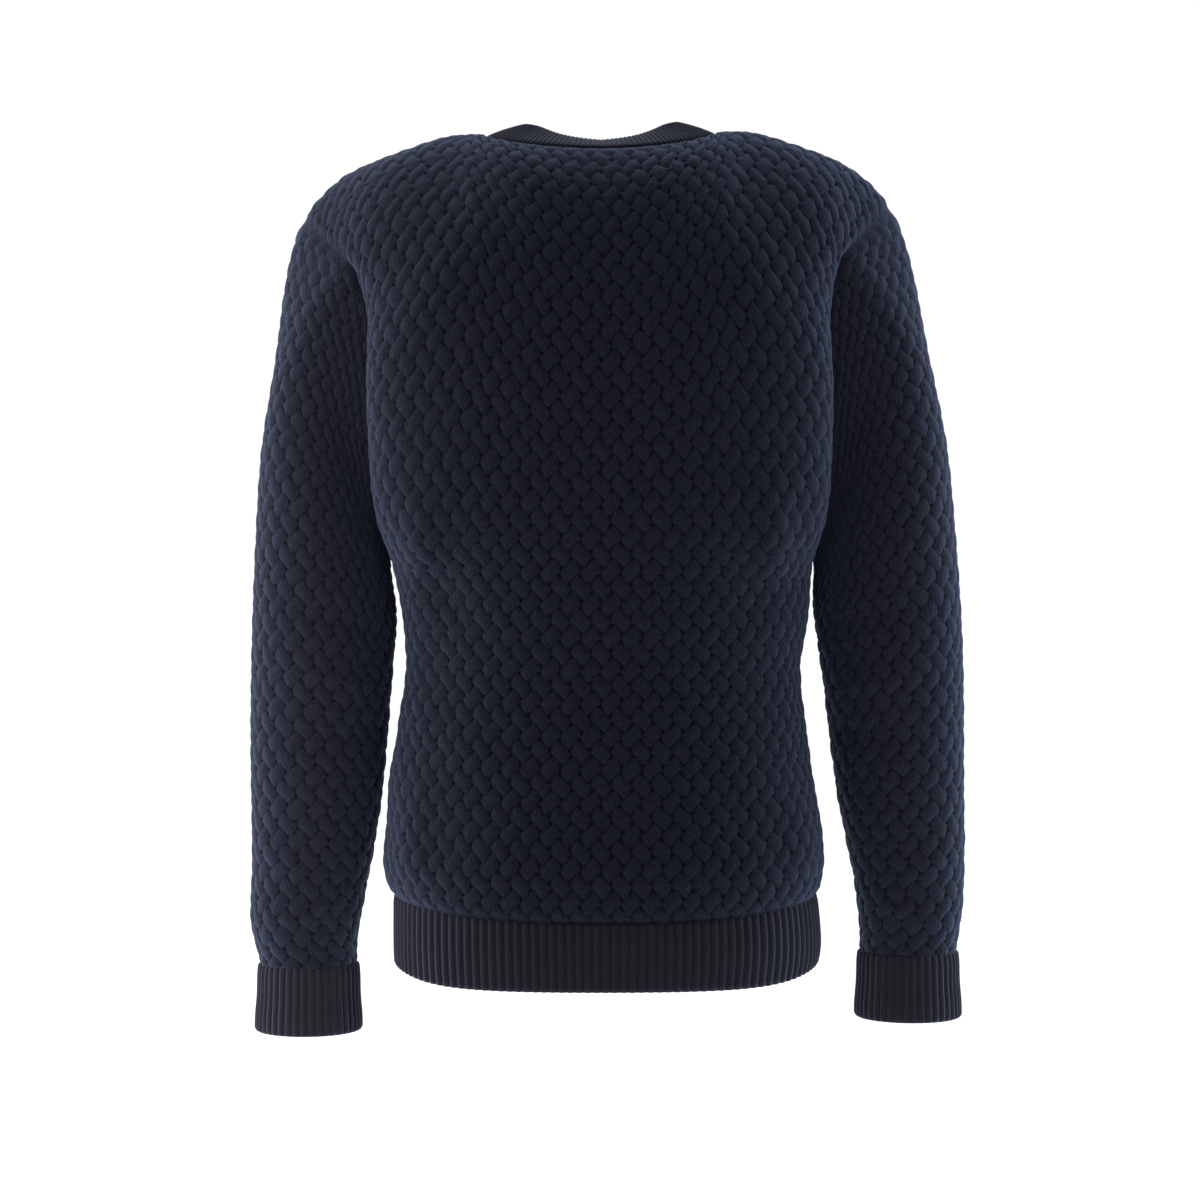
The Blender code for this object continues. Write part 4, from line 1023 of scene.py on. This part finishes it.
def cuff_profile(seam, bottom):
    """Height, offset and share of the rib wave: down inside, up outside, and back."""
    top = seam + CUFF_LIP
    face = [(bottom + 3.0 + (top - bottom - 6.0) * k / 8.0,
             4.2 + 0.25 * math.sin(k * 1.1), 1) for k in range(1, 8)]
    return [(seam - 0.3, -WALL_IN, 0), (bottom + 8, -WALL_IN, 0),
            (bottom + 2.0, -1.0, 0), (bottom + 0.3, 0.6, 0.2), (bottom, 2.0, 0.3),
            (bottom + 0.8, 3.4, 0.6), (bottom + 3.0, 4.2, 1), *face,
            (top - 2.5, 4.0, 1), (top - 0.9, 3.6, 0.8), (top, 2.6, 0.3),
            (top - 0.4, 1.9, 0), (top - 3.0, 1.6, 0), (bottom + 9, 1.6, 0),
            (bottom + 6.0, 1.3, 0), (bottom + 9, 1.0, 0), (seam - 0.3, 1.0, 0)]


def make_cuff(side, node, grid):
    bottom = CUFF_BOTTOM[side]
    count = CUFF_RIBS * RIB_STEPS
    fine_grid = upsample(grid[-CUFF_ROWS:], CUFF_ROWS, count, wrap=True)
    ring = fine_grid[-1]
    seam = ring[0, 2]
    centre = ring.mean(axis=0)
    tangent = np.roll(ring, -1, axis=0) - np.roll(ring, 1, axis=0)
    push = unit(stack(tangent[:, 1], -tangent[:, 0], 0.0))
    if np.sum(push * (ring - centre)) < 0:
        push = -push
    turn = np.arange(count) / RIB_STEPS
    wave = rib_wave(turn, 0.7)
    rings = []
    for z, offset, share in cuff_profile(seam, bottom):
        low = np.clip((seam - z) / (seam - bottom), 0, 1)
        base = centre + (ring - centre) * (1 + (CUFF_FLARE - 1) * low)
        points = base + push * (offset + (wave - 0.35) * 1.5 * share)[:, None]
        points[:, 2] = z
        rings.append(points)
    loop = np.array(rings)
    index = np.arange(len(rings) * count).reshape(-1, count)
    around = np.roll(index, -1, axis=1)
    quads = stack(index, around, np.roll(around, -1, axis=0), np.roll(index, -1, axis=0))
    piece = mesh_piece(node + "_rib", loop, quads,
                       stack(turn, along_lengths(loop) / HEM_RIB), RIB, "navy_rib")
    fix_wrap(piece, CUFF_RIBS)
    if side < 0:
        piece.data.flip_normals()
    turn_closed(piece)
    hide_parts(node)
    wide = across_lengths(fine_grid)[-1, -1] * MM


def fix_wrap(piece, turns):
    """The last strip of a ring runs on to the full count instead of back to 0."""
    layer = piece.data.uv_layers["knit"].data
    uv = np.zeros(len(layer) * 2, np.float32)
    layer.foreach_get("uv", uv)
    u = uv.reshape(-1, 4, 2)[..., 0]
    wide = u.max(axis=1) - u.min(axis=1) > turns / 2
    u += turns * (wide[:, None] & (u < turns / 2))
    layer.foreach_set("uv", uv)


def band_slab(node, grid, out, length):
    """A folded band with fine ribs that run across it."""
    ribs = int(round(length / BAND_RIB))
    rows = ribs * BAND_STEPS + 1
    fine_grid = upsample(grid, rows, BAND_COLS)
    outs = unit(upsample(out, rows, BAND_COLS))
    turn = np.linspace(0, ribs, rows)[:, None]
    wave = rib_wave(turn, 0.8)
    across = np.linspace(0, 1, BAND_COLS)[None, :]
    fold = np.clip((across - 0.84) / 0.16, 0, 1)
    thick = np.sqrt(np.clip(1 - fold ** 2, 0.03, 1))
    thick = thick * (0.75 + 0.25 * smooth(across / 0.12))
    piece = slab(node + "_rib", fine_grid, outs, (BAND_FACE + 0.65 * wave) * thick,
                 (BAND_FACE + 0.5 * wave) * thick,
                 stack(turn, across * BAND_WIDTH / BAND_RIB), BAND, "navy_fine_rib")
    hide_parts(node)


def make_band_pieces(bands, panels, outs):
    """Front bands, then the neckband, on the solids' own middle surfaces."""
    halves = np.array((0.0, 0.5, 1.0))
    for front, side, _ in FRONTS:
        edge, across, out = bands[side]
        grid = edge[:, None] + across[:, None] * halves[None, :, None]
        grid[:, 1] += out * BAND_BOW
        face = normals(grid, side > 0)
        if np.sum(face[:, 0] * out) < 0:
            face = -face
        face[:, 0] = out
        grid[-1, :, 1] = SEAM_Y - 0.2
        band_slab(front.replace("front", "band"), grid, face, lengths(edge)[-1])
    middle = panels["back"].shape[1] // 2
    neck = slice(middle - NECK_COLS * FINE, middle + NECK_COLS * FINE + 1)
    edge, out = panels["back"][-1, neck], outs["back"][-1, neck]
    at = np.linspace(-1.0, 1.0, len(edge))
    table = np.array(NECKBAND_ACROSS, float)
    across = spline(table[:, 0], table[:, 1:], np.abs(at))
    across[:, 0] *= np.sign(at)
    grid = edge[None] + across[None] * halves[:, None, None]
    face = normals(grid, True)
    if np.sum(face[0] * out) < 0:
        face = -face
    grid[1] += face[1] * BAND_BOW
    face[0] = out
    for column in (0, -1):
        grid[:, column, 1] = SEAM_Y + 0.2
        face[:, column, 1] = 0.0
        face[:, column] = unit(face[:, column])
    band_slab("neckband", grid.transpose(1, 0, 2), face.transpose(1, 0, 2),
              lengths(edge)[-1])


# ---- buttons ----
# distance from the axis, height over the seat
BUTTON_PROFILE = ((0.0, 2.2), (1.0, 2.2), (4.4, 2.35), (5.4, 2.8), (6.2, 3.55),
                  (7.0, 3.85), (7.8, 3.75), (8.5, 3.3), (8.9, 2.5), (9.0, 1.8),
                  (8.7, 1.1), (7.6, 0.5), (5.0, 0.1), (0.0, 0.0))
# the dark disc in a hole, which stands for the painted shade inside it
HOLE_PROFILE = ((0.0, 2.33), (0.75, 2.36), (0.95, 2.42), (1.1, 2.36), (1.15, 2.2))
BUTTON_SIDES, HOLE_SIDES, THREAD_SIDES = 48, 14, 6
HOLE_AT = 1.9          # of a hole, from the centre, across and up
STRANDS = 3            # strands of thread each way
STRAND_STEP = 0.294
THREAD_RADIUS = 0.24
SLIT_HALF = 12.2       # half the length of a buttonhole
SLIT_SHIFT = 2.0       # its middle lies this far to the side of its button
SLIT_THREAD = 0.36     # radius of the stitching round it


def lathe(profile, count):
    """Points and quads of a turned shape, open at the axis with a tiny ring."""
    angle = 2 * math.pi * np.arange(count) / count
    rings = [stack(max(r, 0.02) * np.cos(angle), max(r, 0.02) * np.sin(angle), h)
             for r, h in profile]
    return np.concatenate(rings), ring_quads(len(rings), count)


def thread_line(line, radius):
    """A round thread along a line of points."""
    run = unit(np.gradient(line, axis=0))
    side = unit(np.cross(run, np.array((0.03, 0.02, 1.0))))
    up = np.cross(side, run)
    angle = 2 * math.pi * np.arange(THREAD_SIDES) / THREAD_SIDES
    circle = (np.cos(angle)[None, :, None] * side[:, None]
              + np.sin(angle)[None, :, None] * up[:, None]) * radius
    return (line[:, None] + circle).reshape(-1, 3), ring_quads(len(line), THREAD_SIDES)


def joined(parts):
    starts = np.cumsum([0] + [len(points) for points, _ in parts])
    return (np.concatenate([points for points, _ in parts]),
            np.concatenate([quads + at for (_, quads), at in zip(parts, starts)]))


# dark discs at the four holes of a button: painted shade for the insides of the holes
def hole_shade_discs():
    points, quads = lathe(HOLE_PROFILE, HOLE_SIDES)
    return joined([(points + (x * HOLE_AT, y * HOLE_AT, 0), quads)
                   for x in (-1, 1) for y in (-1, 1)])


def button_thread():
    """Strands that cross between the four holes."""
    strands = []
    t = np.linspace(-1, 1, 9)
    for k in range(STRANDS):
        off = (k - 1) * STRAND_STEP
        for sign in (-1, 1):
            line = stack(t * HOLE_AT + off, sign * (t * HOLE_AT - off),
                         2.5 + 0.5 * (1 - t ** 2) + 0.12 * (sign > 0))
            line[[0, -1], 2] = 2.0
            strands.append(thread_line(line, THREAD_RADIUS))
    return joined(strands)


def buttonhole():
    """Two rounds of stitching along the slit."""
    angle = np.linspace(0, 2 * math.pi, 61)
    return joined([thread_line(stack(SLIT_HALF * np.cos(angle) + SLIT_SHIFT,
                                     (1.1 + spread) * np.sin(angle), 0.35 - spread * 0.5),
                               SLIT_THREAD) for spread in (0.0, 0.55)])


def button_seat(node):
    """Where a button's solid sits, and its own axes: side, up, out."""
    co = np.zeros(len(node.data.vertices) * 3)
    node.data.vertices.foreach_get("co", co)
    co = co.reshape(-1, 3) / MM
    centre = co.mean(axis=0)
    axis = np.linalg.svd(co - centre)[2][2]
    axis = axis if axis[1] < 0 else -axis
    side = unit(np.cross((0.0, 0.0, 1.0), axis))
    seat = centre + axis * ((co - centre) @ axis).min()
    return seat, np.stack((side, np.cross(axis, side), axis))


def make_button_pieces():
    shapes = (("button_{}_horn", lathe(BUTTON_PROFILE, BUTTON_SIDES), HORN, "dark_horn"),
              ("button_{}_holes", hole_shade_discs(), HOLE_SHADE, "dark_horn"),
              ("button_{}_thread", button_thread(), THREAD, "navy_rib"),
              ("buttonhole_{}", buttonhole(), THREAD, "navy_rib"))
    for k in range(1, BUTTONS + 1):
        node = f"button_{k}"
        seat, turn = button_seat(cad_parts[node])
        for name, (points, quads), material, slot_name in shapes:
            piece = mesh_piece(name.format(k), seat + points @ turn, quads,
                               np.zeros((len(points), 2)), material, slot_name)
            turn_closed(piece)
            if material is HORN:
                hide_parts(node)


# ---- camera, floor, light ----
CAMERA_AT = (0.0008, 2.2, -0.370)
LENS = 82.5
FLOOR_Z = -1.05
FLOOR_HALF = 14.0
FLOOR_GLOW = 0.31
WORLD_FROM, WORLD_TO = -0.25, 0.35     # from front to back, where the world dims
WORLD_BRIGHT, WORLD_DIM = 1.3, 0.13
WORLD_SEEN = 1.05      # the plain backdrop that the camera sees
# name, place, target, size, watts, colour, spread in degrees
LIGHTS = (
    ("left_soft", (2.3, 0.0, 0.4), (0.1, 0.0, -0.38), (1.6, 2.6), 56,
     (0.90, 0.93, 1.0), 180),
    ("right_soft", (-2.3, -0.5, 0.4), (-0.1, 0.0, -0.38), (1.6, 2.6), 58,
     (0.62, 0.76, 1.0), 180),
    ("top_soft", (0.3, 0.6, 2.0), (0.0, 0.0, -0.1), (1.8, 1.2), 4,
     (1.0, 0.97, 0.94), 180),
    ("left_strip", (0.95, 1.35, -0.45), (0.25, 0.0, -0.47), (0.10, 0.85), 0.50,
     (1.0, 0.96, 0.94), 16),
    ("right_strip", (-0.95, 1.35, -0.45), (-0.25, 0.0, -0.47), (0.10, 0.85), 0.2,
     (1.0, 0.96, 0.94), 16),
)


def placed(name, data, place):
    made = bpy.data.objects.new(name, data)
    made.location = place
    bpy.context.scene.collection.objects.link(made)
    return made


def make_camera():
    data = bpy.data.cameras.new("camera")
    data.sensor_width = 36.0
    data.lens = LENS
    camera = placed("camera", data, CAMERA_AT)
    camera.rotation_euler = (math.pi / 2, 0.0, math.pi)
    bpy.context.scene.camera = camera


def make_lights():
    for name, place, target, size, power, colour, spread in LIGHTS:
        data = bpy.data.lights.new(name, "AREA")
        data.shape = "RECTANGLE"
        data.size, data.size_y = size
        data.energy = power
        data.color = colour
        data.spread = math.radians(spread)
        towards = Vector(target) - Vector(place)
        lamp = placed(name, data, place)
        lamp.rotation_euler = towards.to_track_quat("-Z", "Y").to_euler()


def make_stage():
    mesh = bpy.data.meshes.new("floor")
    corners = [(x * FLOOR_HALF, y * FLOOR_HALF, FLOOR_Z)
               for x, y in ((-1, -1), (1, -1), (1, 1), (-1, 1))]
    mesh.from_pydata(corners, [], [(0, 1, 2, 3)])
    pale, _ = new_material("floor", Base_Color=(0.92, 0.92, 0.93, 1.0), Roughness=0.9,
                           Emission_Color=(1.0, 1.0, 1.0, 1.0),
                           Emission_Strength=FLOOR_GLOW)
    mesh.materials.append(pale)
    placed("floor", mesh, (0.0, 0.0, 0.0))


def make_world():
    world = bpy.data.worlds.new("studio")
    bpy.context.scene.world = world
    n = Nodes(world, "Background")
    _, back = n.parts(n.read("ShaderNodeTexCoord", "Generated"))
    bright = n.ramp(back, WORLD_FROM, WORLD_TO, WORLD_BRIGHT, WORLD_DIM)
    seen = n.read("ShaderNodeLightPath", "Is Camera Ray")
    n.set(Strength=seen * WORLD_SEEN + bright * (1.0 - seen),
          Color=(0.97, 0.98, 1.0, 1.0))


# ---- the cardigan ----
FINE_PANELS, FINE_OUTS = body_panels(FINE)
make_panels(FINE_PANELS)
for SIDE, START in ((LEFT, "left_"), (RIGHT, "right_")):
    TUBE = sleeve(FINE_PANELS, SIDE, FINE)
    make_sleeve_knit(SIDE, START + "sleeve", TUBE)
    make_cuff(SIDE, START + "cuff", TUBE)
PLAIN, PLAIN_OUTS = body_panels()
HEMS = hem_grids(PLAIN)
make_hem_pieces(HEMS)
BANDS = band_edges(PLAIN, PLAIN_OUTS, HEMS, hem_normals(HEMS, PLAIN_OUTS))
make_band_pieces(BANDS, FINE_PANELS, FINE_OUTS)
make_button_pieces()

make_camera()
make_stage()
make_world()
make_lights()
bpy.context.scene.view_settings.view_transform = "Standard"
